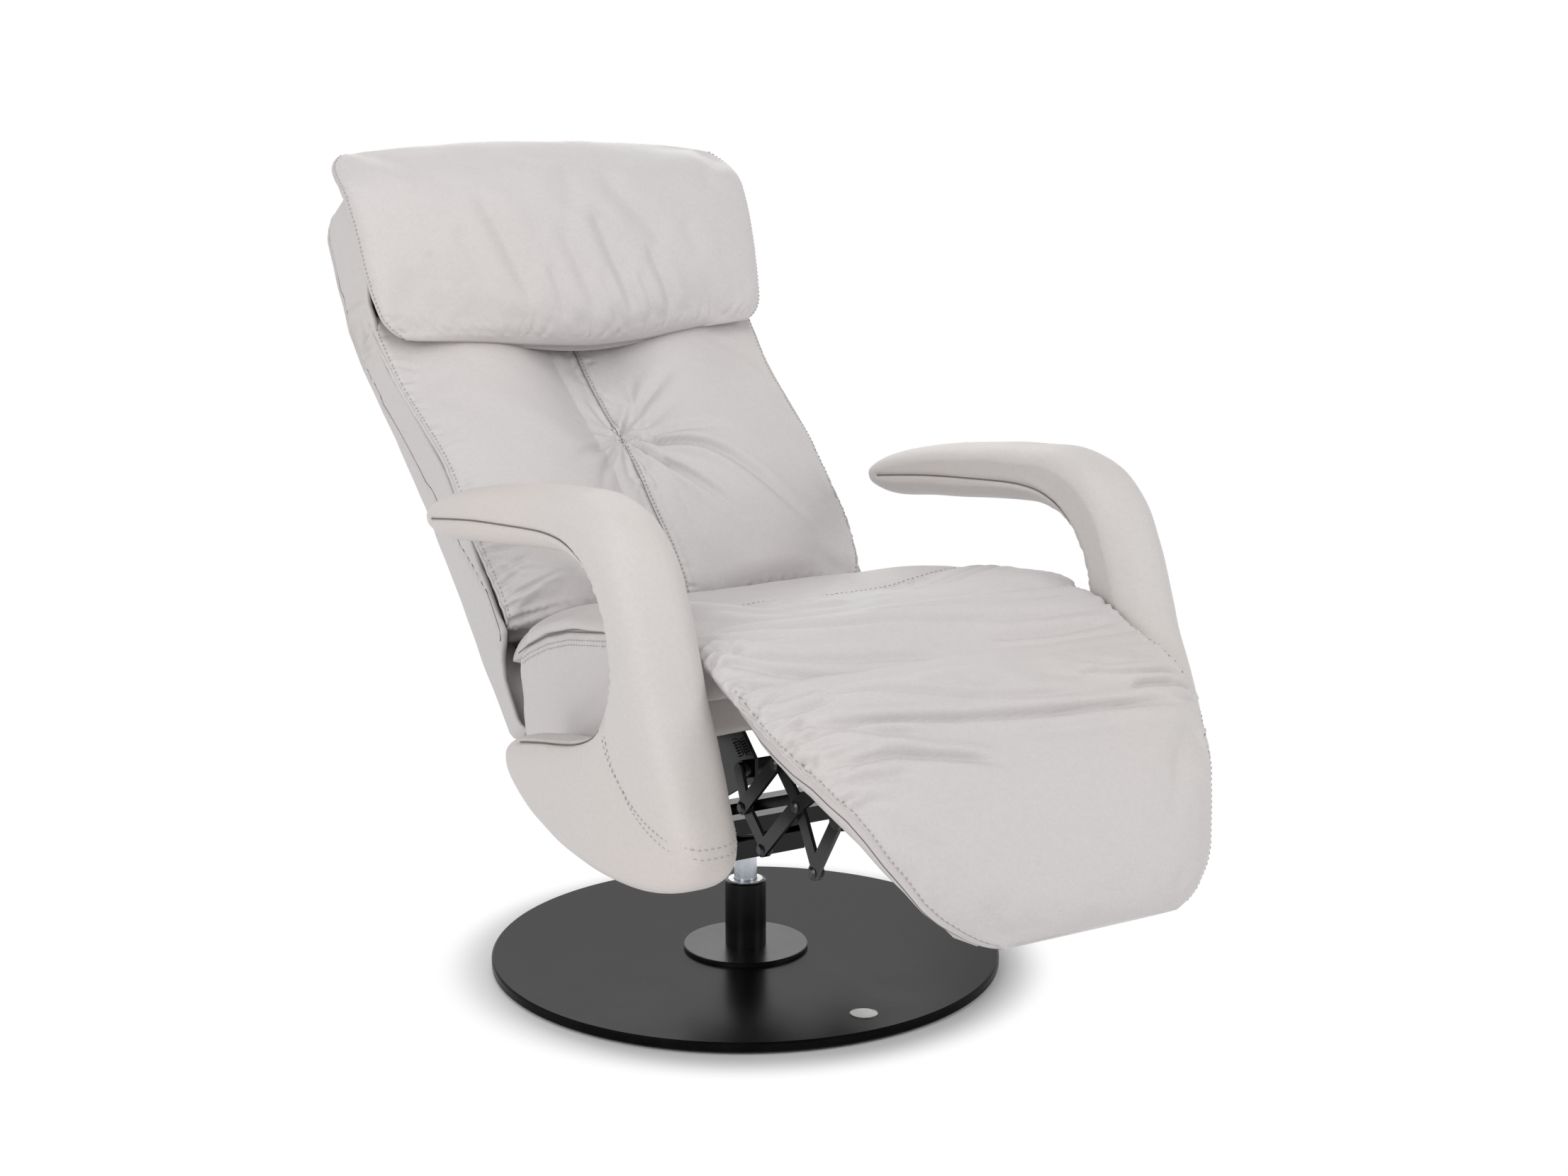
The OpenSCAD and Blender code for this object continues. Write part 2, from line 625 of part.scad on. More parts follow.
module back_cushion() {
    low = 26;
    high = back_l - 46;
    color(leather) back_place() skin([for (i = [0:26])
        let (s = i / 26, e = s < 0.12 ? 0.12 * pow(s / 0.12, 1.5) : s > 0.88 ? 1 - 0.12 * pow((1 - s) / 0.12, 1.5) : s)
        lumbar_ring(span(low + 0.5, high - 0.5, e), low, high)]);
}

module head_rod() {
    color(zinc) back_place() translate([-upright_out + 10, -kink_n, back_l]) rotate([0, 90, 0])
        cylinder(r = 4, h = 2 * upright_out - 20, $fn = 40);
}

module head_frame() {
    color(wood_pale) head_place() difference() {
        union() {
            for (z = [22, head_l - 40]) translate([-upright_out, -frame_n - frame_deep, z])
                cube([2 * upright_out, frame_deep, 34]);
            both_sides() {
                translate([upright_in - 30, -frame_n - frame_deep, 21]) cube([34, frame_deep, head_l - 30]);
                translate([upright_in - 10, -frame_n - 7, 0]) cube([14, 7, 24]);
                translate([upright_in - 10, -kink_n, 0]) rotate([0, 90, 0]) cylinder(r = 7, h = 14, $fn = 40);
            }
        }
        translate([-upright_out - 20, -kink_n, 0]) rotate([0, 90, 0])
            cylinder(r = 4.05, h = 2 * upright_out + 40, $fn = 40);
    }
}

module head_shell() {
    top = head_l + 22;
    color(leather) head_place() skin([for (z = [head_gap, head_gap + 4, 40, 80, 110, head_l - 20, head_l, head_l + 14, top])
        let (over = max(0, z - head_l + 24) / (top - head_l + 24))
        shell_ring(276 - 26 * pow(over, 2), z, -16 * pow(over, 3), 0)], hollow = true);
}

// Head cushion: a crowned pillow whose lower edge droops in front of the lumbar cushion
function head_point(x, u, side) =
    let (seam = 112 + 10 * smooth(u / 160), crown = 40, back = seam - cushion_n - 2)
    side > 0 ? seam + crown * side : seam + back * side;
module head_cushion() {
    low = -42;
    high = head_l + 46;
    color(leather) head_place() skin([for (i = [0:22])
        let (s = -cos(180 * i / 22) * 0.992, u = span(low, high, (s + 1) / 2))
        let (edge = pow(1 - pow(abs(s), 3.4), 1 / 3.4), wide = (head_w - 14 * smooth((60 - u) / 100)) * pow(edge, 0.28))
        let (over_lumbar = smooth((34 - u) / 30), seam = 116 + 10 * smooth((u + 20) / 180))
        let (rear = (seam - cushion_n) * (1 - over_lumbar) + 9 * over_lumbar)
        [for (j = [0:27]) let (t = 180 - j * 360 / 28, x = wide * soft(cos(t), 4))
            [x, -seam - (sin(t) > 0 ? 42 * (1 - 0.25 * pow(x / wide, 2)) : rear) * soft(sin(t), 3.4) * pow(edge, 0.8),
                u - (u < 60 ? 12 * bump(x, 170) * (60 - u) / 100 : 0)]]]);
}

// Flat link with round eyes at a list of pivots, given as [y, z]
module link_outline(points) {
    for (i = [0:len(points) - 2]) hull() {
        translate(points[i]) circle(r = link_w / 2, $fn = 32);
        translate(points[i + 1]) circle(r = link_w / 2, $fn = 32);
    }
}
module bar_link(x, points, holes) {
    both_sides() difference() {
        side_plate_at(x, link_t) link_outline(points);
        for (h = holes) translate([x - 1, h[0], h[1]]) rotate([0, 90, 0]) cylinder(r = rivet_r + run, h = link_t + 2, $fn = 40);
    }
}
module rivets(points, x0, x1) {
    both_sides() for (p = points) translate([x0, p[0], p[1]]) rotate([0, 90, 0]) {
        cylinder(r = rivet_r, h = x1 - x0, $fn = 40);
        translate([0, 0, -rivet_head_h]) cylinder(r = rivet_head_r, h = rivet_head_h, $fn = 40);
        translate([0, 0, x1 - x0]) cylinder(r1 = rivet_head_r, r2 = rivet_head_r - 2, h = rivet_head_h, $fn = 40);
    }
}

row_in = link_x - 0.2;
row_out = outer_x + link_t + 0.2;

module torque_tube() {
    color(steel_black) translate([-link_x + 0.1, pivot_g[0], pivot_g[1]]) rotate([0, 90, 0]) difference() {
        cylinder(r = torque_r, h = 2 * link_x - 0.2, $fn = 48);
        translate([0, 0, -1]) cylinder(r = torque_r - torque_wall, h = 2 * link_x + 2, $fn = 48);
    }
}
module drive_links() {
    color(steel_black) bar_link(link_x, [pivot_g, pivot_b, pivot_c], [pivot_b, pivot_c]);
}
module drive_rivets() {
    color("#3c3d40") rivets([pivot_b, pivot_c], row_in, row_out);
}
module long_links() {
    color(steel_black) bar_link(outer_x, [pivot_c, pivot_d, pivot_k], [pivot_c, pivot_d, pivot_k]);
}
module cross_links() {
    color(steel_black) bar_link(outer_x, [pivot_b, pivot_a], [pivot_b, pivot_a]);
}
module front_links() {
    color(steel_black) bar_link(link_x, [pivot_a, pivot_d, pivot_e], [pivot_a, pivot_d, pivot_e]);
}
module front_rivets() {
    color("#3c3d40") rivets([pivot_a, pivot_d, pivot_e], row_in, row_out);
}
module end_links() {
    color(steel_black) bar_link(outer_x, [pivot_e, pivot_f], [pivot_e, pivot_f]);
}
module end_pins() {
    color("#3c3d40") both_sides() translate([row_in, pivot_f[0], pivot_f[1]]) rotate([0, 90, 0]) {
        cylinder(r = rivet_r, h = row_out - row_in, $fn = 40);
        translate([0, 0, -rivet_head_h]) cylinder(r = rivet_head_r, h = rivet_head_h, $fn = 40);
        translate([0, 0, row_out - row_in]) cylinder(r = 10, h = rivet_head_h, $fn = 40);
    }
}

// Small coil spring above the drive pivot, one wire with straight ends
function coil_point(c, k, turns) =
    let (t = k / 8, a = 360 * t, wire = 0.7, q = wire * [cos(60 * c), sin(60 * c)], r = spring_r + q[0])
    [r * cos(a), r * sin(a), t * spring_pitch + q[1]];
spring_r = 3.1;
spring_pitch = 3.4;
spring_turns = 6;

module link_springs() {
    color(steel_black) both_sides() translate([side_x + side_t + 4.3, pivot_g[0] + 6, pivot_g[1] + 14]) rotate([-48, 0, 0])
        skin([for (k = [0:8 * spring_turns]) [for (c = [0:5]) coil_point(c, k, spring_turns)]]);
}

// The point at distance v down the footrest and n above its chord, as [y, z]
function on_pad(v, n) = [-pad_y - v * cos(pad_slope) - n * sin(pad_slope), pad_z - v * sin(pad_slope) + n * cos(pad_slope)];

module footrest_brackets() {
    under = -board_drop - board_t - seat_gap;
    color(steel_black) both_sides() difference() {
        union() {
            side_plate_at(link_x, link_t) hull() {
                translate(pivot_k) circle(r = 10, $fn = 40);
                translate(pivot_f) circle(r = 12, $fn = 40);
                polygon([on_pad(70, under), on_pad(165, under), on_pad(165, under - 4), on_pad(70, under - 4)]);
            }
            pad_place() translate([link_x + 1, -165, under - 3]) cube([20, 95, 3]);
        }
        translate([link_x - 1, pivot_k[0], pivot_k[1]]) rotate([0, 90, 0]) cylinder(r = rivet_r + run, h = link_t + 2, $fn = 40);
        translate([link_x - 1, pivot_f[0], pivot_f[1]]) rotate([0, 90, 0]) cylinder(r = rivet_r + 4, h = link_t + 2, $fn = 40);
    }
}
module bracket_rivets() {
    color("#3c3d40") rivets([pivot_k], row_in, row_out);
}

// Half width of the pad at the distance v from its upper edge
function pad_half(v) =
    let (t = max(0, v / pad_l), taper = pad_w - 112 * pow(max(0, t - 0.16) / 0.84, 1.35), left = max(0, 1 - t) * pad_l)
    left < 60 ? taper * (0.78 + 0.22 * sqrt(max(0, 1 - pow(1 - left / 60, 2)))) : taper;
// Height of the piped side seam over the chord
function pad_seam(v) = 37 * (1 - pow((v - 165) / 165, 2)) + (v > 300 ? (v - 300) * 0.55 : 0);

module footrest_board() {
    color(wood_pale) pad_place() translate([0, 0, -board_drop - board_t]) linear_extrude(board_t)
        polygon([[-220, -18], [220, -18], [212, -130], [140, -pad_l + 40], [120, -pad_l + 26],
            [-120, -pad_l + 26], [-140, -pad_l + 40], [-212, -130]]);
}

module footrest_pad() {
    color(leather) pad_place() skin([for (i = [0:26])
        let (s = (1 - cos(180 * i / 26)) / 2, v = span(0.5, pad_l - 0.5, s))
        let (end_up = min(1, v / 26), end_low = min(1, (pad_l - v) / 26))
        let (full = sqrt(max(0, 1 - pow(1 - end_up, 2))) * sqrt(max(0, 1 - pow(1 - end_low, 2))))
        let (wide = pad_half(v), seam = pad_seam(v), rest = -board_drop + seat_gap)
        let (crease = 5 * bump(v - 62, 7) + 4 * bump(v - 112, 8))
        [for (j = [0:27]) let (t = 180 - j * 360 / 28, x = wide * soft(cos(t), sin(t) > 0 ? 3.4 : 2.6))
            [x, -v, seam + (sin(t) > 0 ? (24 - crease) * soft(sin(t), 2.8) * (0.3 + 0.7 * full)
                : max((seam - rest) * soft(sin(t), 5) * full, rest - seam))]]]);
}

base_plate();
floor_pad();
base_disc();
flange();
flange_screws();
column_tube();
column_bushes();
column_ring();
thrust_disc();
pivot_shaft();
shaft_nut();
swivel_bracket();
cross_tubes();
side_plates();
seat_frame();
seat_springs();
seat_lining();
seat_apron();
seat_side_right();
seat_side_left();
seat_cushion();
knee_flap();
arm_right();
arm_left();
arm_bolts();
recliner_lower();
recliner_pins();
recliner_upper();
back_frame();
back_straps();
back_shell();
back_cushion();
head_rod();
head_frame();
head_shell();
head_cushion();
link_springs();
torque_tube();
drive_links();
drive_rivets();
long_links();
cross_links();
front_links();
front_rivets();
end_links();
end_pins();
footrest_brackets();
bracket_rivets();
footrest_board();
footrest_pad();
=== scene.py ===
import math

import bpy
import numpy as np
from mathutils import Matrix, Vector


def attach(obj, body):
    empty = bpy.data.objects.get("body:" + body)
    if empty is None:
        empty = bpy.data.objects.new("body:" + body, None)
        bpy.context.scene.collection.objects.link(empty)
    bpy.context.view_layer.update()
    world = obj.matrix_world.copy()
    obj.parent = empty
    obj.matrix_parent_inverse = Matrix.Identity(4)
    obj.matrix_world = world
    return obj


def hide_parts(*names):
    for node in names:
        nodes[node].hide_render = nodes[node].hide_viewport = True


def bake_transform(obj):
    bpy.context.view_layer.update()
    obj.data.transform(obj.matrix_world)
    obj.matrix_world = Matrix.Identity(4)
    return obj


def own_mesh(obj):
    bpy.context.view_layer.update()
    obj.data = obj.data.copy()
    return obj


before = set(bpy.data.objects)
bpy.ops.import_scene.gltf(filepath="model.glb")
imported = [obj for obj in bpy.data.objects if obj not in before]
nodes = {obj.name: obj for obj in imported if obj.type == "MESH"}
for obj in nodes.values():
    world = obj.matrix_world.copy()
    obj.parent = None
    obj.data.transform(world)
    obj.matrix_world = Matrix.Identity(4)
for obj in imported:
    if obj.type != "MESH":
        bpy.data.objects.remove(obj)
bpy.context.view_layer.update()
print("frame loaded")

# Places of the tilted groups, in millimetres and degrees, as in the solid model
hinge = np.array([0.0, 172.0, 395.0])
backDeep, backLean, kinkN, kinkZ, kinkTurn = 37.0, 44.0, 20.0, 477.0, 14.0
seatTilt, seatHeight = 8.0, 453.0
padSlope, padTop = math.radians(40.3), (-408.0, 455.0)

# Settings of the cloth that the leather is settled with, its frames and its smoothing passes
cloth = {
    "quality": 4, "mass": 0.4, "tension_stiffness": 12, "compression_stiffness": 12, "shear_stiffness": 6,
    "bending_stiffness": 0.25, "vertex_group_mass": "held", "pin_stiffness": 1.0, "use_pressure": True}
clothFrames, clothPasses = 16, 3


def turnX(p, degrees):
    c, s = math.cos(math.radians(degrees)), math.sin(math.radians(degrees))
    return np.stack([p[..., 0], p[..., 1] * c - p[..., 2] * s, p[..., 1] * s + p[..., 2] * c], -1)


def stack(x, y, z):
    x, y, z = np.broadcast_arrays(np.asarray(x, float), np.asarray(y, float), np.asarray(z, float))
    return np.stack([x, y, z], -1)


def backPoint(x, n, z):
    return turnX(stack(x, backDeep - n, z), -backLean) + hinge


def headPoint(x, n, u):
    p = turnX(stack(x, kinkN - n, u), kinkTurn)
    return backPoint(p[..., 0], kinkN - p[..., 1], p[..., 2] + kinkZ)


def seatPoint(x, y, z):
    return turnX(stack(x, y, z), -seatTilt) + np.array([0, 0, seatHeight])


def padPoint(x, v, n):
    c, s = math.cos(padSlope), math.sin(padSlope)
    return stack(x, padTop[0] - v * c - n * s, padTop[1] - v * s + n * c)


# In all that follows g is a grid of rings by points in millimetres, n its outward normals,
# field a height over it, and sg 1 on the left and -1 on the right
def soft(t, p):
    # A sine or cosine turned into one of a superellipse of power p
    return np.sign(t) * np.abs(t) ** (2 / p)


def smooth(t):
    t = np.clip(t, 0, 1)
    return t * t * (3 - 2 * t)


def bump(t, wide):
    # A smooth hill of height 1
    return np.exp(-(t / wide) ** 2)


def rounding(t, p=2.0):
    # From 0 at an edge up to 1, along a round shoulder
    rest = 1 - np.clip(1 - t, 0, 1) ** p
    return np.sqrt(rest) if p == 2.0 else rest ** (1 / p)


def lengths(line):
    # Length along a line up to each of its points
    return np.concatenate([[0], np.cumsum(np.linalg.norm(np.diff(line, axis=0), axis=1))])


def unit(v):
    return v / np.maximum(np.linalg.norm(v, axis=-1, keepdims=True), 1e-9)


def sampled(want, run, p):
    # Columns of p, known at the lengths run, at the wanted lengths
    return np.stack([np.interp(want, run, p[:, k]) for k in range(p.shape[1])], 1)


def lipped(d, width, lip, reach=2.1, spread=1.5):
    # Section of a valley with a fuller lip on each side
    return -np.exp(-(d / width) ** 2) + lip * np.exp(-((d - reach * width) / (spread * width)) ** 2)


def waves(t, seed):
    # Smooth one-dimensional noise between about -1 and 1
    k = np.random.RandomState(seed)
    out = 0
    for f in (1.0, 1.63, 2.41, 3.7):
        out = out + math.pow(f, -0.6) * np.sin(f * t * 2 * math.pi + k.uniform(0, 6.28))
    return out / 2.2


def through(rows, s):
    # Catmull-Rom curve through a table of stations
    rows = np.asarray(rows, float)
    n = len(rows) - 1
    at = np.minimum(s * n, n - 1e-6)
    i = np.floor(at).astype(int)
    t = (at - i)[..., None]
    a, b = rows[np.maximum(i - 1, 0)], rows[i]
    c, d = rows[i + 1], rows[np.minimum(i + 2, n)]
    return 0.5 * (2 * b + (c - a) * t + (2 * a - 5 * b + 4 * c - d) * t * t + (3 * b - a - 3 * c + d) * t ** 3)


def outward(g):
    # 1 where the rings of a grid turn so that its normals point out, or else -1
    n = len(g)
    mid = g[n // 2].mean(0)
    a = np.cross(np.roll(g[n // 2], -1, 0) - g[n // 2], (g[n // 2 + 1] - g[n // 2]))
    return 1.0 if (a * (g[n // 2] - mid)).sum() > 0 else -1.0


def normals(g):
    # Outward normals of a closed ring grid
    return unit(np.cross(np.roll(g, -1, 1) - np.roll(g, 1, 1), np.gradient(g, axis=0))) * outward(g)


def raised(g, field):
    # A ring grid moved out by a field in millimetres
    return g + normals(g) * field[..., None]


def near(p, line, reach=70.0):
    # Distance from each point to a polyline, and how far along it the nearest place is
    line = np.asarray(line, float)
    flat = p.reshape(-1, 3)
    best, along = np.full(len(flat), 1e5), np.zeros(len(flat))
    pick = np.nonzero(((flat > line.min(0) - reach) & (flat < line.max(0) + reach)).all(1))[0]
    part, far, place, run = flat[pick], np.full(len(pick), 1e5), np.zeros(len(pick)), 0.0
    for a, b in zip(line, line[1:]):
        d = b - a
        long = np.linalg.norm(d)
        if long < 1e-9:
            continue
        t = np.clip(((part - a) @ d) / (long * long), 0, 1)
        dist = np.linalg.norm(part - (a + t[:, None] * d), axis=1)
        hit = dist < far
        far, place = np.where(hit, dist, far), np.where(hit, run + t * long, place)
        run += long
    best[pick], along[pick] = far, place
    return best.reshape(p.shape[:-1]), along.reshape(p.shape[:-1])


def groove(p, line, depth, width, shoulder=0.0):
    # An even valley along a seam, with a raised shoulder on each side
    d, _ = near(p, line)
    return -depth * np.exp(-(d / width) ** 2) + shoulder * np.exp(-((d - 2.4 * width) / (1.5 * width)) ** 2)


def fold(p, line, depth, width):
    # A soft crease that fades out at both ends
    d, along = near(p, line)
    long = along.max() + 1e-6
    fade = smooth(along / (0.18 * long) + 0.12) * smooth((long - along) / (0.25 * long))
    return fade * depth * lipped(d, width, 0.55)


def pull(p, line, depth, width):
    # One short pull that starts sharp at a seam and runs out
    d, along = near(p, line, 18.0)
    fade = np.clip(1 - along / lengths(line)[-1], 0, 1) ** 0.8 * smooth(along / 6 + 0.12)
    return fade * depth * lipped(d, width, 0.6, 2.1, 1.4)


def pointsAt(g, path):
    # Values of a ring grid at fractional (ring, point) places
    n, m, _ = g.shape
    i, j = np.clip(path[:, 0], 0, n - 1.001), np.mod(path[:, 1], m)
    a, b = np.floor(i).astype(int), np.floor(j).astype(int) % m
    s, t = (i - a)[:, None], (j - np.floor(j))[:, None]
    c = (b + 1) % m
    return g[a, b] * (1 - s) * (1 - t) + g[a, c] * (1 - s) * t + g[a + 1, b] * s * (1 - t) + g[a + 1, c] * s * t


def gridPath(i0, i1, j0, j1, count):
    # A straight path from ring i0, point j0 to ring i1, point j1
    return np.stack([np.linspace(i0, i1, count), np.linspace(j0, j1, count)], 1)


def rowOn(g, n, path, first=0, last=0):
    # Points and normals of a grid along a path that is cut short at both ends
    keep = slice(first, len(path) - last)
    return pointsAt(g, path)[keep], pointsAt(n, path)[keep]


def trace(raw, stations, count, pairs, samples):
    # Grid path of a smooth line given by (x, station) pairs on the front face
    pts = through(pairs, np.linspace(0, 1, samples))
    i = np.interp(pts[:, 1], stations, np.arange(len(stations)))
    j = [np.interp(x, raw[int(round(k)), :count, 0], np.arange(count)) for x, k in zip(pts[:, 0], i)]
    return np.stack([i, np.array(j)], 1)


def gather(g, path, way, seed, pitch, long, depth, lean=0.35):
    # Short pulls that leave a seam; way is the side of the path that they run to
    run = lengths(pointsAt(g, path))
    pick = np.random.RandomState(seed)
    field = np.zeros(g.shape[:2])
    at = pitch * pick.rand()
    rings = abs(path[-1, 0] - path[0, 0]) > abs(path[-1, 1] - path[0, 1])
    while at < run[-1] - 3:
        far = long * (0.3 + 0.8 * pick.rand() ** 1.6)
        deep = depth * (0.4 + 0.6 * pick.rand())
        slope, curl = lean * pick.randn(), 2.0 * pick.randn()
        i0, j0 = np.interp(at, run, path[:, 0]), np.interp(at, run, path[:, 1])
        e, b = min(at + 5, run[-1]), max(at - 5, 0)
        di = (np.interp(e, run, path[:, 0]) - np.interp(b, run, path[:, 0])) / (e - b)
        dj = (np.interp(e, run, path[:, 1]) - np.interp(b, run, path[:, 1])) / (e - b)
        here = pointsAt(g, np.array([[i0, j0], [i0, j0 + 1], [min(i0 + 1, g.shape[0] - 1.01), j0]]))
        stepJ = 1 / max(0.4, np.linalg.norm(here[1] - here[0]))
        stepI = 1 / max(0.4, np.linalg.norm(here[2] - here[0]))
        t = np.linspace(1.5, far, 9)
        side = slope * t + curl * np.sin(2.4 * t / far)
        i = i0 + di * side + (0 if rings else way * stepI) * t
        j = j0 + dj * side + (way * stepJ if rings else 0) * t
        field += pull(g, pointsAt(g, np.stack([i, j], 1)), deep, 1.7 + 1.9 * pick.rand() + 0.012 * far)
        at += pitch * (0.45 + 1.1 * pick.rand())
    return field


def addPulls(field, g, path, rows):
    for row in rows:
        field += gather(g, path, *row)


def addEdgePulls(field, g, path, sg, rows):
    # Gathers that run inward from a sewn edge
    for seed, pitch, long, depth in rows:
        field += gather(g, path, -sg, seed + sg, pitch, long, depth)


def evenly(curve, count):
    # Points at equal steps along a curve, both ends kept
    run = lengths(curve)
    return sampled(np.linspace(0, run[-1], count), run, curve)


def smoothed(p, wide):
    # Running mean over a number of points
    even = np.ones(wide) / wide
    return np.stack([np.convolve(np.pad(p[:, k], wide // 2, "edge"), even, "valid") for k in range(3)], 1)


def resample(line, nrm, step):
    # Points and normals at an even step in millimetres
    run = lengths(line)
    want = np.arange(0, run[-1], step)
    return sampled(want, run, line), unit(sampled(want, run, nrm))


def onGrid(g, n, line):
    # A line dropped on the nearest points of a grid and smoothed
    q = resample(line, np.zeros_like(line) + [1, 0, 0], 3.0)[0]
    cloud, dirs = g.reshape(-1, 3), n.reshape(-1, 3)
    nearest = [int(np.argmin(((cloud - p) ** 2).sum(1))) for p in q]
    return smoothed(cloud[nearest], 5), smoothed(dirs[nearest], 7)


def crowded(count, share):
    # Steps from 0 to 1 that lie closer together near both ends
    k = np.linspace(0, 1, count)
    return k - share * np.sin(2 * np.pi * k) / (2 * np.pi)


def columns(p):
    return p[..., 0], p[..., 1], p[..., 2]


def mirrored(side, down):
    # The left half of a rear outline, run on over the right half
    side, down = np.asarray(side, float), np.asarray(down, float)
    return np.concatenate([side, -side[::-1]]), np.concatenate([down, down[::-1]])


def ringOf(front, rear, piece):
    # One closed ring from a front and a rear curve
    return np.concatenate([evenly(front, piece["front"] + 1)[:-1], evenly(rear, piece["rear"] + 1)[:-1]])


def frontOf(g, piece):
    # True on the points of the front face
    return (np.arange(g.shape[1]) < piece["front"])[None, :]


def addFolds(field, g, raw, stations, piece, samples):
    # Every fold of a piece, as (x, station) pairs, depth and width
    for pairs, depth, width in piece["folds"]:
        path = trace(raw, stations, piece["front"], pairs, samples)
        field += frontOf(g, piece) * fold(g, pointsAt(g, path), depth, width)


def sewnEdges(piece, first, last, count):
    # Grid paths along the right (-1) and the left (1) sewn edge
    ring = piece["rings"] - 1.0 - last
    return {sg: gridPath(first, ring, j, j, count) for sg, j in ((-1, 0.0), (1, float(piece["front"])))}


def heldEdges(g, piece, sides):
    # 1 on the rear face and along the sewn edges, 0 where the leather is free
    held = np.where(frontOf(g, piece), 0.0, 1.0) + np.zeros(g.shape[:2])
    for path in sides.values():
        held = np.maximum(held, (near(g, pointsAt(g, path))[0] < 4) * 1.0)
    return held


def newObject(name, points, faces):
    mesh = bpy.data.meshes.new(name)
    mesh.from_pydata((np.asarray(points) / 1000).tolist(), [], faces)
    mesh.update()
    obj = bpy.data.objects.new(name, mesh)
    bpy.context.scene.collection.objects.link(obj)
    return obj


def meshFrom(name, g):
    # A closed skin over a ring grid, with a fan at each end
    n, m, _ = g.shape
    i, j = np.meshgrid(np.arange(n - 1), np.arange(m), indexing="ij")
    k = (j + 1) % m
    quads = np.stack([i * m + j, i * m + k, (i + 1) * m + k, (i + 1) * m + j], -1).reshape(-1, 4)
    flip = outward(g) < 0
    faces = (quads[:, ::-1] if flip else quads).tolist()
    for j in range(m):
        a, b = [n * m, (j + 1) % m, j], [n * m + 1, (n - 1) * m + j, (n - 1) * m + (j + 1) % m]
        faces += [a[::-1], b[::-1]] if flip else [a, b]
    obj = newObject(name, np.concatenate([g.reshape(-1, 3), [g[0].mean(0)], [g[-1].mean(0)]]), faces)
    obj.data.polygons.foreach_set("use_smooth", [True] * len(faces))
    return obj


def settle(name, g, held, pressure, grow, cap):
    # Cloth under light air pressure on every second point; held is 1 where a seam keeps the leather in place
    rows = np.unique(np.append(np.arange(0, g.shape[0], 2), g.shape[0] - 1))
    cols = np.arange(0, g.shape[1], 2)
    coarse = g[rows][:, cols]
    obj = meshFrom(name + "_sim", coarse)
    count = coarse.shape[0] * coarse.shape[1]
    weights = np.clip(held[rows][:, cols].reshape(-1), 0, 1)
    group = obj.vertex_groups.new(name="held")
    group.add([int(i) for i in np.nonzero(weights > 0.5)[0]] + [count, count + 1], 1.0, "REPLACE")
    modifier = obj.modifiers.new("Cloth", "CLOTH")
    settings = modifier.settings
    for key, value in cloth.items():
        setattr(settings, key, value)
    settings.uniform_pressure_force = pressure
    settings.shrink_min = -grow
    settings.effector_weights.gravity = 0
    modifier.point_cache.frame_end = clothFrames
    for f in range(1, clothFrames + 1):
        bpy.context.scene.frame_set(f)
    ready = obj.evaluated_get(bpy.context.evaluated_depsgraph_get())
    out = np.empty(len(ready.data.vertices) * 3)
    ready.data.vertices.foreach_get("co", out)
    move = out.reshape(-1, 3)[:count].reshape(coarse.shape) * 1000 - coarse
    bpy.data.objects.remove(obj)
    bpy.context.scene.frame_set(1)
    size = np.linalg.norm(move, axis=-1, keepdims=True)
    move = move * np.minimum(1, cap / np.maximum(size, 1e-9))
    for turn in range(clothPasses):
        move = (2 * move + np.roll(move, 1, 1) + np.roll(move, -1, 1)) / 4
        move[1:-1] = (2 * move[1:-1] + move[:-2] + move[2:]) / 4
    move = move * (1 - weights.reshape(coarse.shape[:2])[..., None])
    fine = np.interp(np.arange(g.shape[0]), rows, np.arange(len(rows)))
    i, j = np.meshgrid(fine, np.arange(g.shape[1]) / 2, indexing="ij")
    move = pointsAt(move, np.stack([i.ravel(), j.ravel()], 1)).reshape(g.shape)
    print("settled", name, round(float(np.linalg.norm(move, axis=-1).max()), 1), "mm at most")
    return g + move


def tube(points, nrm, radius, sides=8):
    # Ring grid round a line
    tangent = unit(np.gradient(points, axis=0))
    side = unit(np.cross(tangent, nrm))
    up = np.cross(side, tangent)
    a = np.arange(sides)[None, :, None] * 2 * math.pi / sides
    return points[:, None] + radius * (np.cos(a) * side[:, None] + np.sin(a) * up[:, None])


def dress(obj, paint, body, replaced=()):
    # Paint of a piece, the body it rides on and the nodes it stands for
    obj.data.materials.append(paint)
    if body:
        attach(obj, body)
    if replaced:
        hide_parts(*replaced)


def stitches(name, rows, body, paint, pitch, long, thick=0.42):
    # One mesh of short threads, sunk a little at both ends
    points, faces = [], []
    profile = ((-1, -0.5, 0.5), (-0.62, 0.30, 1), (0, 0.48, 1.05), (0.62, 0.30, 1), (1, -0.5, 0.5))
    for line, nrm in rows:
        p, q = resample(line, nrm, pitch)
        for a, u, d in zip(p, q, unit(np.gradient(p, axis=0))):
            base = len(points)
            side = np.cross(d, u)
            for k, lift, size in profile:
                for c in range(5):
                    w = 2 * math.pi * c / 5
                    up = u * (lift + thick * size * math.sin(w))
                    points.append(a + d * k * long / 2 + up + side * thick * size * math.cos(w))
            for r in range(base, base + 20, 5):
                faces += [[r + c, r + (c + 1) % 5, r + 5 + (c + 1) % 5, r + 5 + c] for c in range(5)]
    obj = newObject(name, np.array(points), faces)
    obj.data.polygons.foreach_set("use_smooth", [True] * len(faces))
    dress(obj, paint, body)


def cordPiping(name, line, nrm, radius, body):
    p, q = resample(line, nrm, 3.0)
    dress(meshFrom(name, tube(p, q, radius)), leather, body)


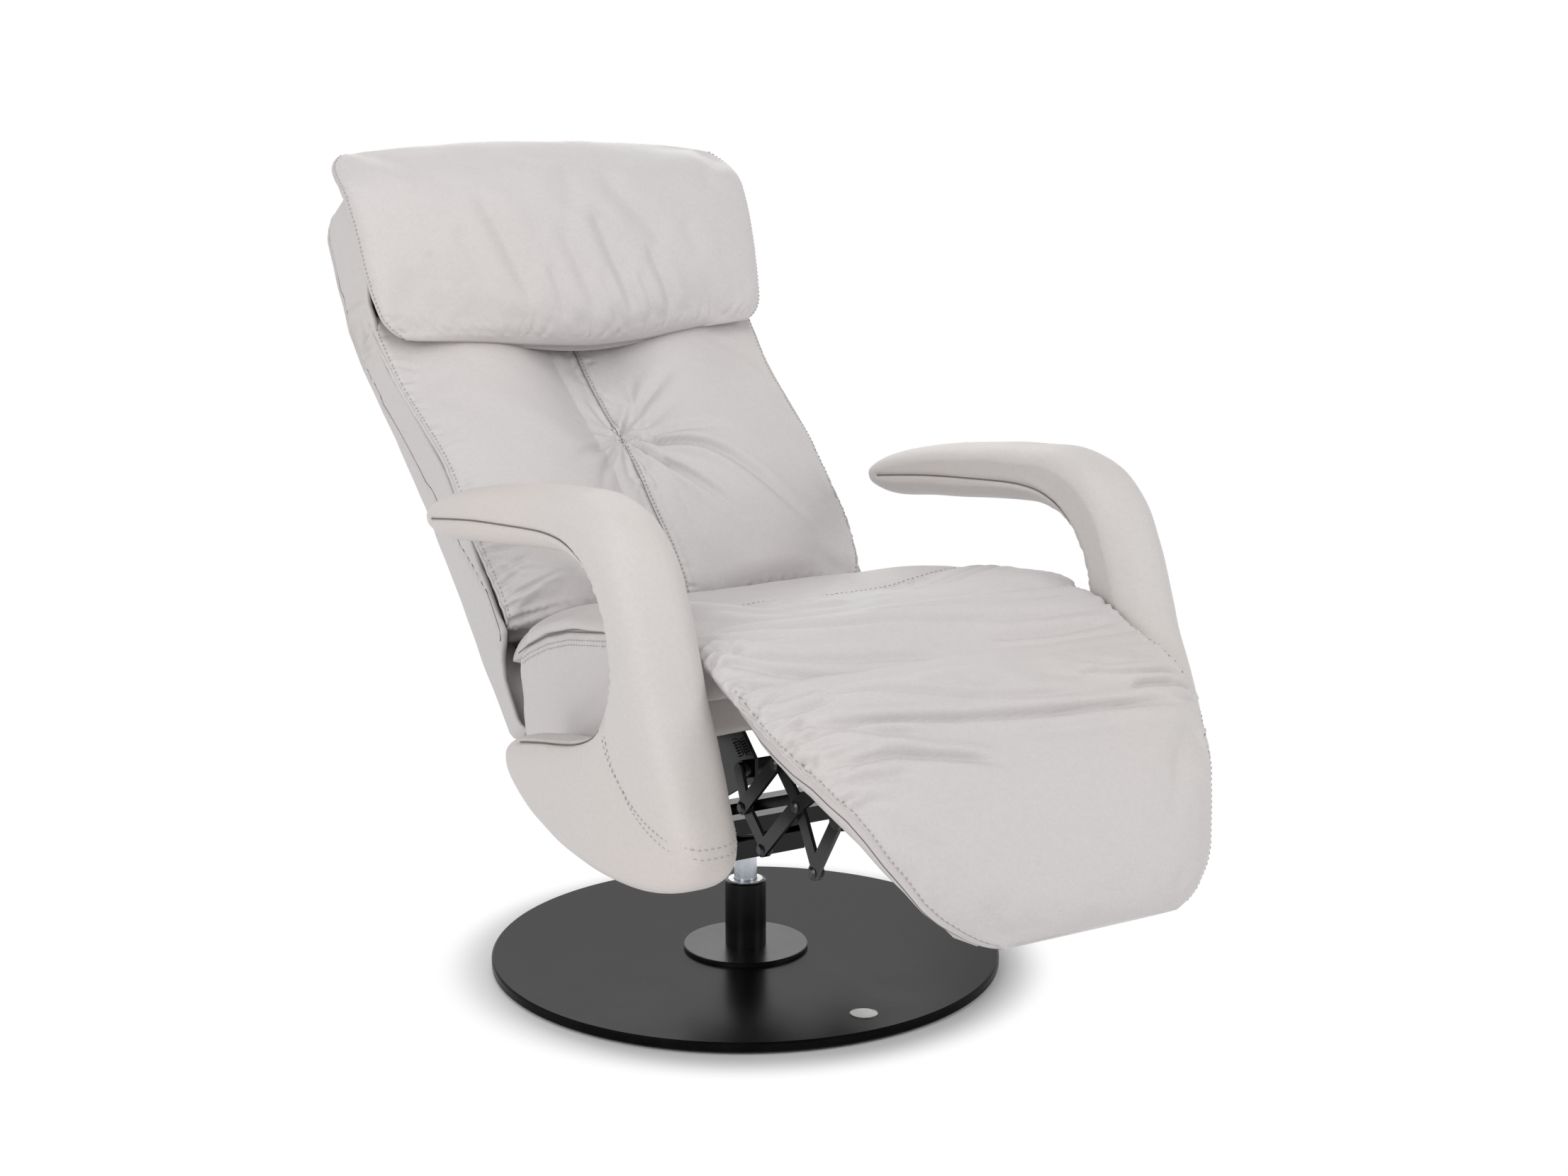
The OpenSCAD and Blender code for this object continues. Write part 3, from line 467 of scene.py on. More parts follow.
def seamShadeLine(name, line, nrm, body, radius=0.8, drop=0.0):
    # Painted shade of the fold between two sewn panels: a thin dark line sunk in its groove
    p, q = resample(line, nrm, 2.4)
    dress(meshFrom(name, tube(p - q * drop, q, radius, 6)), seamShade, body)


def sideName(sg):
    return "left" if sg > 0 else "right"


def edgeTrim(name, g, n, sides, body, trim):
    # Piping on both sewn edges and, outside it, a dark line of painted shade in the seam; gives the rows for the
    # stitches inside it
    rows = {}
    for sg, path in sides.items():
        p, q = rowOn(g, n, path)
        cordPiping("%s_piping_%s" % (name, sideName(sg)), p + q * trim["lift"], q, trim["radius"], body)
        rows[sg] = rowOn(g, n, path + [0, -sg * trim["inner"]], trim["ends"], trim["ends"])
        if trim["outer"]:
            p, q = rowOn(g, n, path + [0, sg * trim["outer"]])
            seamShadeLine("%s_seam_%s" % (name, sideName(sg)), p, q, body, 0.8, trim["drop"])
    return rows


# Materials

def feed(tree, node, values=(), links=()):
    # Constants on a node's sockets, and the sockets that feed it
    for key, value in dict(values).items():
        node.inputs[key].default_value = value
    for key, socket in dict(links).items():
        tree.links.new(socket, node.inputs[key])
    return node


def addNode(tree, kind, values=(), links=(), **settings):
    # A shader node with its settings, constants and links
    node = tree.nodes.new("ShaderNode" + kind)
    for key, value in settings.items():
        setattr(node, key, value)
    return feed(tree, node, values, links)


def newPaint(name):
    paint = bpy.data.materials.new(name)
    paint.use_nodes = True
    tree = paint.node_tree
    return paint, tree, addNode(tree, "TexCoord").outputs["Object"]


def noiseNode(tree, place, scale, detail, rough=0.55, twist=0.0):
    values = {"Scale": scale, "Detail": detail, "Roughness": rough, "Distortion": twist}
    return addNode(tree, "TexNoise", values, {"Vector": place}).outputs["Fac"]


def stretched(tree, place, scale):
    return addNode(tree, "Mapping", {"Scale": scale}, {"Vector": place}).outputs["Vector"]


def rampNode(tree, source, *stops):
    node = addNode(tree, "ValToRGB", (), {"Fac": source})
    while len(node.color_ramp.elements) < len(stops):
        node.color_ramp.elements.new(0.5)
    for e, (at, colour) in zip(node.color_ramp.elements, stops):
        e.position = at
        e.color = (*colour, 1)
    return node.outputs["Color"]


def rangeNode(tree, source, low, high, top=1.0):
    values = {"To Min": low, "To Max": high, "From Max": top}
    return addNode(tree, "MapRange", values, {"Value": source}).outputs["Result"]


def multiplyNode(tree, factor, one, two):
    kind = {"data_type": "RGBA", "blend_type": "MULTIPLY"}
    return addNode(tree, "Mix", {"Factor": factor}, {6: one, 7: two}, **kind).outputs[2]


def coat(tree, colour, height, strength, distance, values, rough=None):
    # Colour, bump and roughness of a paint, and its other constants
    skin = addNode(tree, "Bump", {"Strength": strength, "Distance": distance}, {"Height": height})
    links = {"Base Color": colour, "Normal": skin.outputs["Normal"]}
    if rough:
        links["Roughness"] = rough
    feed(tree, tree.nodes["Principled BSDF"], values, links)


def scaled(colour, share):
    return tuple(c * share for c in colour)


def leatherPaint(name, light, dark, warm):
    paint, tree, place = newPaint(name)
    fine = noiseNode(tree, place, 220.0, 4.0)
    tint = rampNode(tree, noiseNode(tree, place, 2.6, 2.0, 0.4), (0.35, dark), (0.5, light), (0.65, warm))
    mottle = rampNode(tree, fine, (0.35, (0.955, 0.955, 0.955)), (0.62, (1, 1, 1)))
    cells = addNode(tree, "TexVoronoi", (), {"Vector": place}, feature="DISTANCE_TO_EDGE")
    cells = feed(tree, cells, {"Scale": 560.0, "Randomness": 0.95}).outputs["Distance"]
    pores = rampNode(tree, cells, (0.0, (0.86, 0.85, 0.84)), (0.16, (1, 1, 1)))
    whole = multiplyNode(tree, 0.4, multiplyNode(tree, 0.8, tint, mottle), pores)
    grain = rangeNode(tree, cells, 0.0, 1.0, 0.35)
    coat(tree, whole, grain, 0.35, 0.0005, {"Specular IOR Level": 0.45}, rangeNode(tree, fine, 0.40, 0.52))
    return paint


def lacquerPaint(name, colour, rough, scratch=0.02, fleck=900.0, strength=0.12):
    paint, tree, place = newPaint(name)
    dust = noiseNode(tree, place, 26.0, 6.0)
    tint = rampNode(tree, dust, (0.35, colour), (0.75, tuple(c + scratch for c in colour)))
    shine = rangeNode(tree, dust, rough - 0.06, rough + 0.12)
    coat(tree, tint, noiseNode(tree, place, fleck, 2.0), strength, 0.0004, {"Specular IOR Level": 0.28}, shine)
    return paint


def metalPaint(name, colour, rough, stretch=1):
    paint, tree, place = newPaint(name)
    stain = noiseNode(tree, place, 40.0, 5.0)
    tint = rampNode(tree, stain, (0.35, scaled(colour, 0.82)), (0.65, colour))
    lines = noiseNode(tree, stretched(tree, place, (1, 1, stretch)), 700.0, 2.0)
    coat(tree, tint, lines, 0.1, 0.0003, {"Metallic": 1.0}, rangeNode(tree, stain, rough - 0.04, rough + 0.1))
    return paint


def woodPaint(name, dark, light, rough, stretch, strength, gloss=0.5):
    paint, tree, place = newPaint(name)
    grain = noiseNode(tree, stretched(tree, place, stretch), 9.0, 9.0, 0.68, 0.6)
    tint = rampNode(tree, grain, (0.32, dark), (0.66, light))
    shine = rangeNode(tree, noiseNode(tree, place, 14.0, 7.0, 0.7), rough - 0.05, rough + 0.08)
    coat(tree, tint, grain, strength, 0.0006, {"Specular IOR Level": gloss}, shine)
    return paint


def weavePaint(name, colour, scale):
    paint, tree, place = newPaint(name)
    waves = [addNode(tree, "TexWave", {"Scale": scale, "Distortion": 0.6}, {"Vector": place}, bands_direction=way)
             for way in "XZ"]
    weave = addNode(tree, "Math", (), {k: w.outputs["Fac"] for k, w in enumerate(waves)}, operation="MULTIPLY")
    tint = rampNode(tree, weave.outputs[0], (0.0, scaled(colour, 0.5)), (0.7, colour))
    coat(tree, tint, weave.outputs[0], 0.4, 0.0006, {"Roughness": 0.9})
    return paint


leather = leatherPaint("leather", (0.575, 0.548, 0.546), (0.562, 0.538, 0.540), (0.588, 0.556, 0.545))
armLeather = leatherPaint("armLeather", (0.590, 0.555, 0.540), (0.578, 0.550, 0.542), (0.610, 0.558, 0.530))
# A darker, warmer copy of the leather for the apron under the seat and the footrest's board: painted shade of these
# undersides
shadedLeather = leatherPaint("shadedLeather", (0.50, 0.465, 0.44), (0.48, 0.45, 0.43), (0.52, 0.48, 0.45))
# Dark brown of the thin lines sunk in the seam grooves: painted shade of the folds there
seamShade = lacquerPaint("seamShade", (0.16, 0.145, 0.135), 0.7, 0.02)
thread = lacquerPaint("thread", (0.36, 0.345, 0.33), 0.65, 0.04, 1500.0, 0.3)
coolThread = lacquerPaint("coolThread", (0.33, 0.38, 0.40), 0.6, 0.04, 1500.0, 0.3)
stainedWood = woodPaint(
    "stainedWood", (0.0016, 0.0015, 0.0017), (0.0048, 0.0044, 0.0050), 0.24, (1.2, 9.0, 6.0), 0.08, 0.047)
paleWood = woodPaint("paleWood", (0.44, 0.29, 0.15), (0.62, 0.45, 0.26), 0.6, (1.0, 7.0, 7.0), 0.15)
satinBlack = lacquerPaint("satinBlack", (0.0028, 0.0028, 0.0031), 0.25, 0.003, 1100.0, 0.10)
glossBlack = lacquerPaint("glossBlack", (0.0018, 0.0018, 0.0021), 0.19, 0.002, 420.0, 0.16)
rivetBlack = metalPaint("rivetBlack", (0.06, 0.06, 0.065), 0.28)
zincPaint = metalPaint("zincPaint", (0.66, 0.7, 0.75), 0.16, 14)
brightRing = metalPaint("brightRing", (0.55, 0.56, 0.57), 0.3)
discMetal = metalPaint("discMetal", (0.5, 0.5, 0.49), 0.34)
springPaint = metalPaint("springPaint", (0.07, 0.07, 0.075), 0.35)
nylonPaint = lacquerPaint("nylonPaint", (0.6, 0.56, 0.44), 0.5, 0.05)
feltPaint = weavePaint("feltPaint", (0.05, 0.05, 0.05), 900.0)
liningPaint = weavePaint("liningPaint", (0.03, 0.03, 0.032), 420.0)
print("materials made")

finishes = [
    (stainedWood, "base_plate"), (discMetal, "base_disc"), (feltPaint, "floor_pad"), (satinBlack, "flange column_tube"),
    (zincPaint, "pivot_shaft"), (nylonPaint, "column_bushes thrust_disc"), (liningPaint, "seat_lining back_straps"),
    (brightRing, "flange_screws column_ring shaft_nut arm_bolts recliner_pins head_rod"),
    (paleWood, "seat_frame back_frame head_frame"), (springPaint, "seat_springs link_springs"),
    # The footrest board gets the darker leather: painted shade of its underside
    (rivetBlack, "drive_rivets front_rivets end_pins bracket_rivets"), (shadedLeather, "footrest_board"),
    (glossBlack, "swivel_bracket cross_tubes side_plates recliner_lower recliner_upper torque_tube drive_links "
                 "long_links cross_links front_links end_links footrest_brackets")]
for paint, names in finishes:
    for name in names.split():
        nodes[name].data.materials.clear()
        nodes[name].data.materials.append(paint)
print("frame nodes painted")

# Arms: a padded loop of armrest, front post and side panel.
# A station holds the outer y and z, the inner y and z, and the share of the full width
arm = {
    "centre": 308.0, "half": 43.5, "inner": 266.5, "step": 3.4, "front": 58, "rear": 58, "face": 14, "hemStep": 3.0,
    "stations": [
        [166, 557, 152, 547, 0.42], [150, 573, 136, 541, 0.80], [104, 592, 98, 537, 0.96], [20, 611, 22, 546, 1],
        [-80, 625, -66, 556, 1], [-165, 633, -150, 564, 1], [-232, 637, -205, 566, 1], [-288, 623, -252, 556, 1],
        [-328, 592, -282, 532, 1], [-360, 540, -298, 500, 1], [-386, 478, -302, 466, 1], [-412, 415, -294, 434, 1],
        [-440, 353, -270, 404, 1], [-461, 302, -240, 382, 1], [-441, 272, -205, 370, 1], [-385, 251, -176, 362, 1],
        [-310, 241, -150, 357, 1], [-230, 243, -122, 352, 1], [-155, 253, -98, 348, 0.98],
        [-100, 271, -76, 344, 0.93], [-64, 297, -58, 340, 0.84], [-49, 319, -49, 331, 0.5]],
    "hem": [(121, 561), (7, 576), (-131, 588), (-188, 590), (-232, 584), (-268, 564), (-293, 527), (-311, 478),
            (-306, 432), (-276, 398), (-228, 373), (-176, 359), (-122, 349), (-72, 338)],
    "bends": [(-270, 545, 1.0), (-290, 430, 1.3)],
    "panel": [(-288, 440), (-293, 418), (-299, 397), (-322, 372), (-356, 350), (-391, 334), (-433, 322), (-458, 318)],
    "panelLow": [(-298, 436), (-303, 412), (-312, 391), (-333, 366), (-364, 342), (-398, 325), (-436, 313),
                 (-460, 309)]}


def armRing(st):
    # Section of the padded loop at one station
    o, q = st[0:2], st[2:4]
    mid, half = (o + q) / 2, (o - q) / 2
    sharp = 2.5 + 0.9 * smooth((np.linalg.norm(half) - 40) / 30)
    t = np.linspace(-np.pi / 2, 1.5 * np.pi, 721)
    a = soft(np.sin(t), sharp)
    x = arm["centre"] + np.maximum(arm["half"] * st[4] * soft(np.cos(t), sharp), arm["inner"] - arm["centre"])
    ring = stack(x, mid[0] + half[0] * a, mid[1] + half[1] * a)
    return ringOf(ring[:361], ring[360:], arm)


def onFace(g, n, pairs, side):
    # Points on an arm's outer (1) or inner (-1) face at the given y and z
    curve = through(pairs, np.linspace(0, 1, 400))
    yz = evenly(curve, int(lengths(curve)[-1] / arm["hemStep"]) + 2)
    cloud, dirs = g.reshape(-1, 3), n.reshape(-1, 3)
    pick = np.nonzero(side * (cloud[:, 0] - arm["centre"]) > arm["face"])[0]
    points, turned = [], []
    for y, z in yz:
        d = (cloud[pick, 1] - y) ** 2 + (cloud[pick, 2] - z) ** 2
        best = np.argpartition(d, 5)[:5]
        w = 1 / (d[best] + 1)
        w /= w.sum()
        points.append([(cloud[pick[best], 0] * w).sum(), y, z])
        turned.append((dirs[pick[best]] * w[:, None]).sum(0))
    return smoothed(np.array(points), 9), smoothed(np.array(turned), 9)


def addHemPulls(field, g, line, dirs, pick):
    # Short pulls across the hem, strongest round the two inner bends
    at = 4.0
    while at < (len(line) - 1) * arm["hemStep"] - 6:
        k = int(at / arm["hemStep"])
        y, z = line[k, 1], line[k, 2]
        strong = sum((w * np.exp(-((y - b) / 60) ** 2 - ((z - c) / 60) ** 2) for b, c, w in arm["bends"]), 0.4)
        along = line[min(k + 2, len(line) - 1)] - line[max(k - 2, 0)]
        across = np.cross(dirs[k], along)
        across /= np.linalg.norm(across)
        far = (14 + 32 * pick.rand() ** 1.5) * min(1.5, 0.5 + 0.6 * strong)
        t = np.linspace(3.5, far, 8)[:, None]
        for way in (1, -1):
            bend = 0.3 * pick.randn()
            path = line[k] + way * across * t * (0.45 if way > 0 else 1) + along / np.linalg.norm(along) * t * bend
            field += pull(g, path, (0.6 + 0.9 * pick.rand()) * strong, 2.0 + 1.6 * pick.rand())
        at += (9 + 10 * pick.rand()) / (0.7 + 0.5 * strong)


def makeArm(sign, name, node):
    dense = np.array([through(arm["stations"], k) for k in np.linspace(0, 1, 1200)])
    mid = (dense[:, 0:2] + dense[:, 2:4]) / 2
    run = lengths(mid)
    g = np.array([armRing(st) for st in sampled(np.linspace(0, run[-1], int(run[-1] / arm["step"])), run, dense)])
    n = normals(g)
    panel, panelLow = onFace(g, n, arm["panel"], 1)[0], onFace(g, n, arm["panelLow"], 1)[0]
    field = np.zeros(g.shape[:2])
    pick = np.random.RandomState(3 if sign < 0 else 4)
    for side in (1, -1):
        line, dirs = onFace(g, n, arm["hem"], side)
        field += groove(g, line, 2.2, 2.6, 0.9)
        addHemPulls(field, g, line, dirs, pick)
    field += groove(g, panel, 1.1, 2.0, 0.3) + groove(g, panelLow, 0.8, 2.2, 0.2)
    field += waves(g[..., 1] / 330 + g[..., 2] / 260, 11) * 0.7
    g = g + n * field[..., None]
    g[..., 0] = np.maximum(g[..., 0], arm["inner"])
    mirror = np.array([sign, 1.0, 1.0])
    dress(meshFrom(name, g * mirror), armLeather, "seat", [node])
    n = normals(g)
    # Dark lines of painted shade in the hem grooves
    for side, hem in ((1, "outer"), (-1, "inner")):
        line, dirs = onFace(g, n, arm["hem"], side)
        if side > 0 or sign > 0:
            seamShadeLine("%s_hem_%s" % (name, hem), line * mirror, dirs * mirror, "seat", 0.9, -0.2)
    rows = []
    for key in ("panel", "panelLow"):
        line, dirs = onFace(g, n, arm[key], 1)
        # Both rows run on round the front edge to the inner side
        i, j = divmod(int(np.argmin(((g - line[-1]) ** 2).sum(-1))), g.shape[1])
        more = np.arange(j + 1, int(g.shape[1] * 0.62))
        line = smoothed(np.concatenate([line, g[i, more]]), 3)
        rows.append((line * mirror, np.concatenate([dirs, n[i, more]]) * mirror))
    stitches(name + "_panel_stitches", rows, "seat", coolThread if sign < 0 else thread, 7.2, 4.6, 0.5)


makeArm(1, "arm_left_cover", "arm_left")
makeArm(-1, "arm_right_cover", "arm_right")
print("arms made")

# Seat cushion. These rows are the same for all cushions, in millimetres:
# fold: (x, station) pairs, depth, width; pulls: side of the path, seed, pitch, length, depth, lean;
# edge pulls: the same without side and lean; groove: depth, width, shoulder; stitch: pitch, length, thickness;
# cloth: pressure, growth, farthest move
seat = {
    "frontEnd": -306.0, "rearEnd": 129.0, "half": 265.4, "base": -73.5, "rings": 190, "front": 236, "rear": 44,
    "cross": -138.0, "crossSeam": [(-250, -134), (-120, -138), (0, -138), (120, -141), (250, -146)],
    "seamY": [-310, -200, -149, -60, -4, 46, 80, 105, 130], "seamZ": [-6, -6, -6, -9, -17, -30, -43, -52, -56],
    "folds": [
        ([(-246, -160), (-190, -182), (-120, -190), (-40, -184)], 3.12, 7),
        ([(-250, -196), (-180, -222), (-90, -236), (10, -228)], 3.84, 8),
        ([(-248, -236), (-170, -262), (-70, -268), (40, -256), (120, -252)], 3.6, 8),
        ([(30, -190), (110, -206), (190, -204), (246, -190)], 2.64, 7),
        ([(60, -240), (150, -232), (246, -216)], 3.12, 7), ([(-90, -158), (0, -172), (80, -168)], 1.92, 6)],
    "groove": (3.6, 4.5, 1.6), "crossPulls": [(-1, 201, 12, 50, 2.0), (1, 202, 17, 24, 0.9)],
    "edgePulls": [(203, 15, 34, 0.9)], "stitch": (6.6, 4.2, 0.42), "cloth": (1.3, 0.012, 5.0)}


def sideSeam(y):
    return np.interp(y, seat["seamY"], seat["seamZ"])


def seatTop(x, y):
    fromFront, fromRear = y - seat["frontEnd"], seat["rearEnd"] - y
    front, rear = 1 - rounding(fromFront / 44), 1 - rounding(fromRear / 42)
    sideRise = 13 * smooth((np.abs(x) - 110) / 110) * smooth((fromRear - 30) / 160)
    return 3 - 3 * bump(x, 170) * bump(y + 60, 190) + sideRise - 30 * front - 46 * rear


def makeSeat():
    ys = seat["frontEnd"] + (seat["rearEnd"] - seat["frontEnd"]) * crowded(seat["rings"], 0.6)
    t = np.linspace(np.pi, 0, 400)
    rows, base = [], seat["base"]
    for y in ys:
        narrow = 9 * max(0, 1 - (y - seat["frontEnd"]) / 26) ** 2 + 18 * smooth((y - seat["rearEnd"] + 95) / 90)
        wide, seam = seat["half"] - narrow, sideSeam(y) + 1.0
        x = wide * soft(np.cos(t), 5)
        front = stack(x, y, seam + (seatTop(x, y) - seam) * soft(np.sin(t), 2.8))
        x, z = mirrored([wide, 238, 237, 236], [seam, seam - 1, (seam + base) / 2, base])
        rows.append(ringOf(front, stack(x, y, z), seat))
    raw = np.array(rows)
    g = seatPoint(*columns(raw))
    top = frontOf(g, seat)
    cross = trace(raw, ys, seat["front"], seat["crossSeam"], 90)
    line = pointsAt(g, cross)
    field = top * (groove(g, line, *seat["groove"]) + 2.2 * smooth((seat["cross"] - 4 - raw[..., 1]) / 12))
    addPulls(field, g, cross, seat["crossPulls"])
    addFolds(field, g, raw, ys, seat, 50)
    for sg in (-1, 1):
        edge = trace(raw, ys, seat["front"], [(sg * 262, y) for y in (-296, -200, -100, 0, 60, 104)], 110)
        addEdgePulls(field, g, edge, sg, seat["edgePulls"])
    field += top * 0.9 * waves(raw[..., 0] / 240 + raw[..., 1] / 200, 33)
    g = raised(g, field)
    g = settle("seat_cover", g, np.where(top & (near(g, line)[0] > 6), 0.0, 1.0), *seat["cloth"])
    dress(meshFrom("seat_cover", g), leather, "seat", ["seat_cushion"])
    n = normals(g)
    # A dark line of painted shade in the cross seam's groove
    seamShadeLine("seat_cross_seam", *rowOn(g, n, cross, 3, 3), "seat", 1.2, 0.2)
    stitches("seat_cross_stitches", [rowOn(g, n, cross + [3.2, 0], 3, 3)], "seat", thread, *seat["stitch"])


makeSeat()

# Side pads, whose top edges lie under the cushion's sewn sides
sidePad = {
    "frontEnd": -284.0, "rearEnd": 77.0, "middle": 252.7, "half": 12.6, "outer": 265.3, "points": 120, "pulls": 26,
    "lowY": [-284, -210, -150, 77], "lowZ": [-114, -118, -152, -156], "rearFolds": [(66, -7), (58, -16)],
    "stitchDrops": (9.0, 14.5), "marks": 90}


def makeSide(sign, name, node):
    ys = np.concatenate([np.linspace(-284, -278, 4), np.linspace(-274, 60, 100), np.linspace(62, 77, 9)])
    t = np.linspace(0, 2 * np.pi, 300)
    rows = []
    for y in ys:
        cut = 1 - rounding((sidePad["rearEnd"] - y) / 22)
        start = max(0, 1 - (y - sidePad["frontEnd"]) / 5)
        high = float(sideSeam(y)) + 3 - 10 * cut
        low = float(np.interp(y, sidePad["lowY"], sidePad["lowZ"])) + 12 * cut
        x = sidePad["middle"] + (sidePad["half"] - 3.5 * cut - 2.5 * start) * soft(np.cos(t), 5)
        ring = stack(sign * x, y, (high + low) / 2 + (high - low) / 2 * soft(np.sin(t), 9))
        rows.append(evenly(ring, sidePad["points"] + 1)[:-1])
    g = seatPoint(*columns(np.array(rows)))
    pick = np.random.RandomState(40 + sign)
    field = 0.8 * waves(g[..., 1] / 170 + g[..., 2] / 120, 42)
    for k in range(sidePad["pulls"]):
        y = -150 + 215 * pick.rand()
        top = float(sideSeam(y)) - 1
        z = top - np.linspace(1, 12 + 34 * pick.rand() ** 1.4, 8)
        path = seatPoint(sign * sidePad["outer"], y + 0.35 * pick.randn() * (top - z), z)
        field += pull(g, path, 0.5 + 0.7 * pick.rand(), 2.2 + 1.5 * pick.rand())
    z = np.linspace(-50, -140, 20)
    for y, bend in sidePad["rearFolds"]:
        field += fold(g, seatPoint(sign * sidePad["outer"], y + bend * np.sin((z + 50) / 30), z), 1.4, 3.5)
    g = raised(g, field)
    g[..., 0] = sign * np.clip(sign * g[..., 0], 238, 266.1)
    dress(meshFrom(name, g), leather, "seat", [node])
    out = stack(np.full(sidePad["marks"], float(sign)), 0, 0)
    y = np.linspace(-150, 66, sidePad["marks"])
    rows = [(seatPoint(sign * 265.7, y, sideSeam(y) - drop), out) for drop in sidePad["stitchDrops"]]
    stitches(name + "_stitches", rows, "seat", coolThread, 7.0, 4.4)
    # A dark line of painted shade in the groove of the top seam
    y = np.linspace(-160, 74, sidePad["marks"])
    seamShadeLine(name + "_seam", seatPoint(sign * 265.9, y, sideSeam(y) + 0.2), out, "seat", 0.8, 0.2)


makeSide(1, "seat_side_cover_left", "seat_side_left")
makeSide(-1, "seat_side_cover_right", "seat_side_right")

# Front apron under the cushion
apron = {
    "half": 238.5, "columns": 170, "seams": (-150, 150),
    "profile": [[-272.6, -114.0], [-272.6, -74.5], [-276, -73.9], [-280, -76], [-281.6, -82], [-281.9, -95],
                [-281.2, -108], [-279, -113.5], [-276, -115.6]]}


def makeApron():
    shape = through(apron["profile"], np.linspace(0, 1, 60))
    rows = []
    for x in np.linspace(-apron["half"], apron["half"], apron["columns"]):
        edge = min(1.0, (apron["half"] + 0.1 - abs(x)) / 5)
        part = shape.mean(0) + (shape - shape.mean(0)) * (0.75 + 0.25 * edge)
        rows.append(stack(x, part[:, 0], part[:, 1]))
    g = seatPoint(*columns(np.array(rows)))
    field = 0.8 * waves(g[..., 0] / 90, 51)
    for x in apron["seams"]:
        field += groove(g, seatPoint(x, -281.8, np.linspace(-114, -76, 12)), 1.4, 2.4, 0.5)
    # The apron gets the darker leather: painted shade under the seat's front
    dress(meshFrom("seat_apron_cover", raised(g, field)), shadedLeather, "seat", ["seat_apron"])
    # Dark lines of painted shade in the seams' grooves
    for k, x in enumerate(apron["seams"]):
        line = seatPoint(x, -282.0, np.linspace(-113, -77, 14))
        seamShadeLine("seat_apron_seam_%d" % k, line, stack(np.zeros(14), -1.0, 0), "seat", 0.7, 0.6)


makeApron()

# Cap screws from the seat rail into the side pads, as radius and x along the screw
bolts = {
    "y": (-225, -150, -75), "z": -94.0, "sides": 24,
    "profile": [(0, 212.8), (6.2, 212.8), (6.6, 213.4), (6.6, 217.0), (8.3, 217.1), (8.3, 217.7), (4, 217.8),
                (4, 261), (3, 262), (0, 262)]}


def makeBolts(sign, name, replaced):
    m = bolts["sides"]
    a = np.linspace(0, 2 * np.pi, m + 1)[:-1]
    points, faces = [], []
    for y in bolts["y"]:
        base = len(points) * m
        points += [seatPoint(sign * x, y + r * np.cos(a), bolts["z"] + r * np.sin(a)) for r, x in bolts["profile"]]
        for i in range(base, (len(points) - 1) * m, m):
            for j in range(m):
                k = (j + 1) % m
                q = [i + j, i + k, i + m + k, i + m + j]
                faces.append(q if sign > 0 else q[::-1])
    dress(newObject(name, np.concatenate(points), faces), brightRing, "seat", replaced)


makeBolts(1, "arm_bolts_left", ["arm_bolts"])
makeBolts(-1, "arm_bolts_right", [])
print("seat made")

# Footrest pad. An edge row holds v, height of the sewn seam and half width
pad = {
    "long": 334.0, "rings": 176, "front": 236, "rear": 60, "lid": 45.0, "corner": 58.0, "turn": 190,
    "edge": [[0, 2, 262], [37, 14.7, 262], [66, 22.2, 261], [92, 27.2, 256], [116, 32, 250], [137, 34.9, 240],
             [160, 36.5, 232], [180, 36.3, 222], [205, 33, 212], [229, 26.6, 202], [253, 20.5, 190], [278, 13, 178],
             [295, 8.5, 168], [309, 5, 158], [332, 0, 147]],
    "folds": [
        ([(-252, 70), (-213, 88), (-140, 100), (-41, 115), (33, 124), (112, 127), (187, 130), (238, 140)], 8.0, 5.0),
        ([(-244, 133), (-195, 137), (-159, 139), (-101, 156), (-41, 172)], 7.0, 5.2),
        ([(110, 66), (171, 86), (231, 88), (259, 88)], 5.6, 4.4), ([(150, 106), (219, 107), (252, 116)], 6.0, 4.2),
        ([(-200, 40), (-130, 56), (-52, 78), (33, 96), (120, 104)], 5.6, 6.5),
        ([(-262, 60), (-228, 60), (-176, 56)], 3.8, 4.2),
        ([(-256, 96), (-203, 99), (-150, 116), (-110, 124)], 4.0, 4.2),
        ([(-250, 118), (-211, 126), (-165, 123)], 3.6, 4.0), ([(-262, 34), (-226, 38), (-170, 34)], 3.4, 4.2),
        ([(-238, 150), (-190, 160), (-150, 163)], 2.8, 4.4), ([(60, 66), (120, 72), (190, 62)], 1.6, 6.0),
        ([(210, 98), (262, 96)], 2.2, 3.2), ([(196, 122), (252, 128)], 2.2, 3.4),
        ([(-232, 168), (-196, 182), (-170, 186)], 1.3, 4.5), ([(-20, 140), (60, 148), (120, 146)], 1.3, 7.0)],
    "trim": {"lift": 0.3, "radius": 1.5, "inner": 2.6, "ends": 4, "outer": 1.4, "drop": 0.1},
    "groove": (1.8, 2.4, 0.5), "edgePulls": [(61, 8, 66, 4.4), (71, 12, 34, 3.0)], "lowPulls": [(65, 15, 16, 0.7)],
    "stitch": (6.4, 4.0, 0.7), "cloth": (1.5, 0.014, 7.0)}
padEdge = np.array(pad["edge"])


def padHalf(v):
    # Half width of the footrest pad, with its low corners rounded
    w = np.interp(v, padEdge[:, 0], padEdge[:, 2])
    return w - pad["corner"] * 0.8 * (1 - rounding((pad["long"] - v) / pad["corner"]))


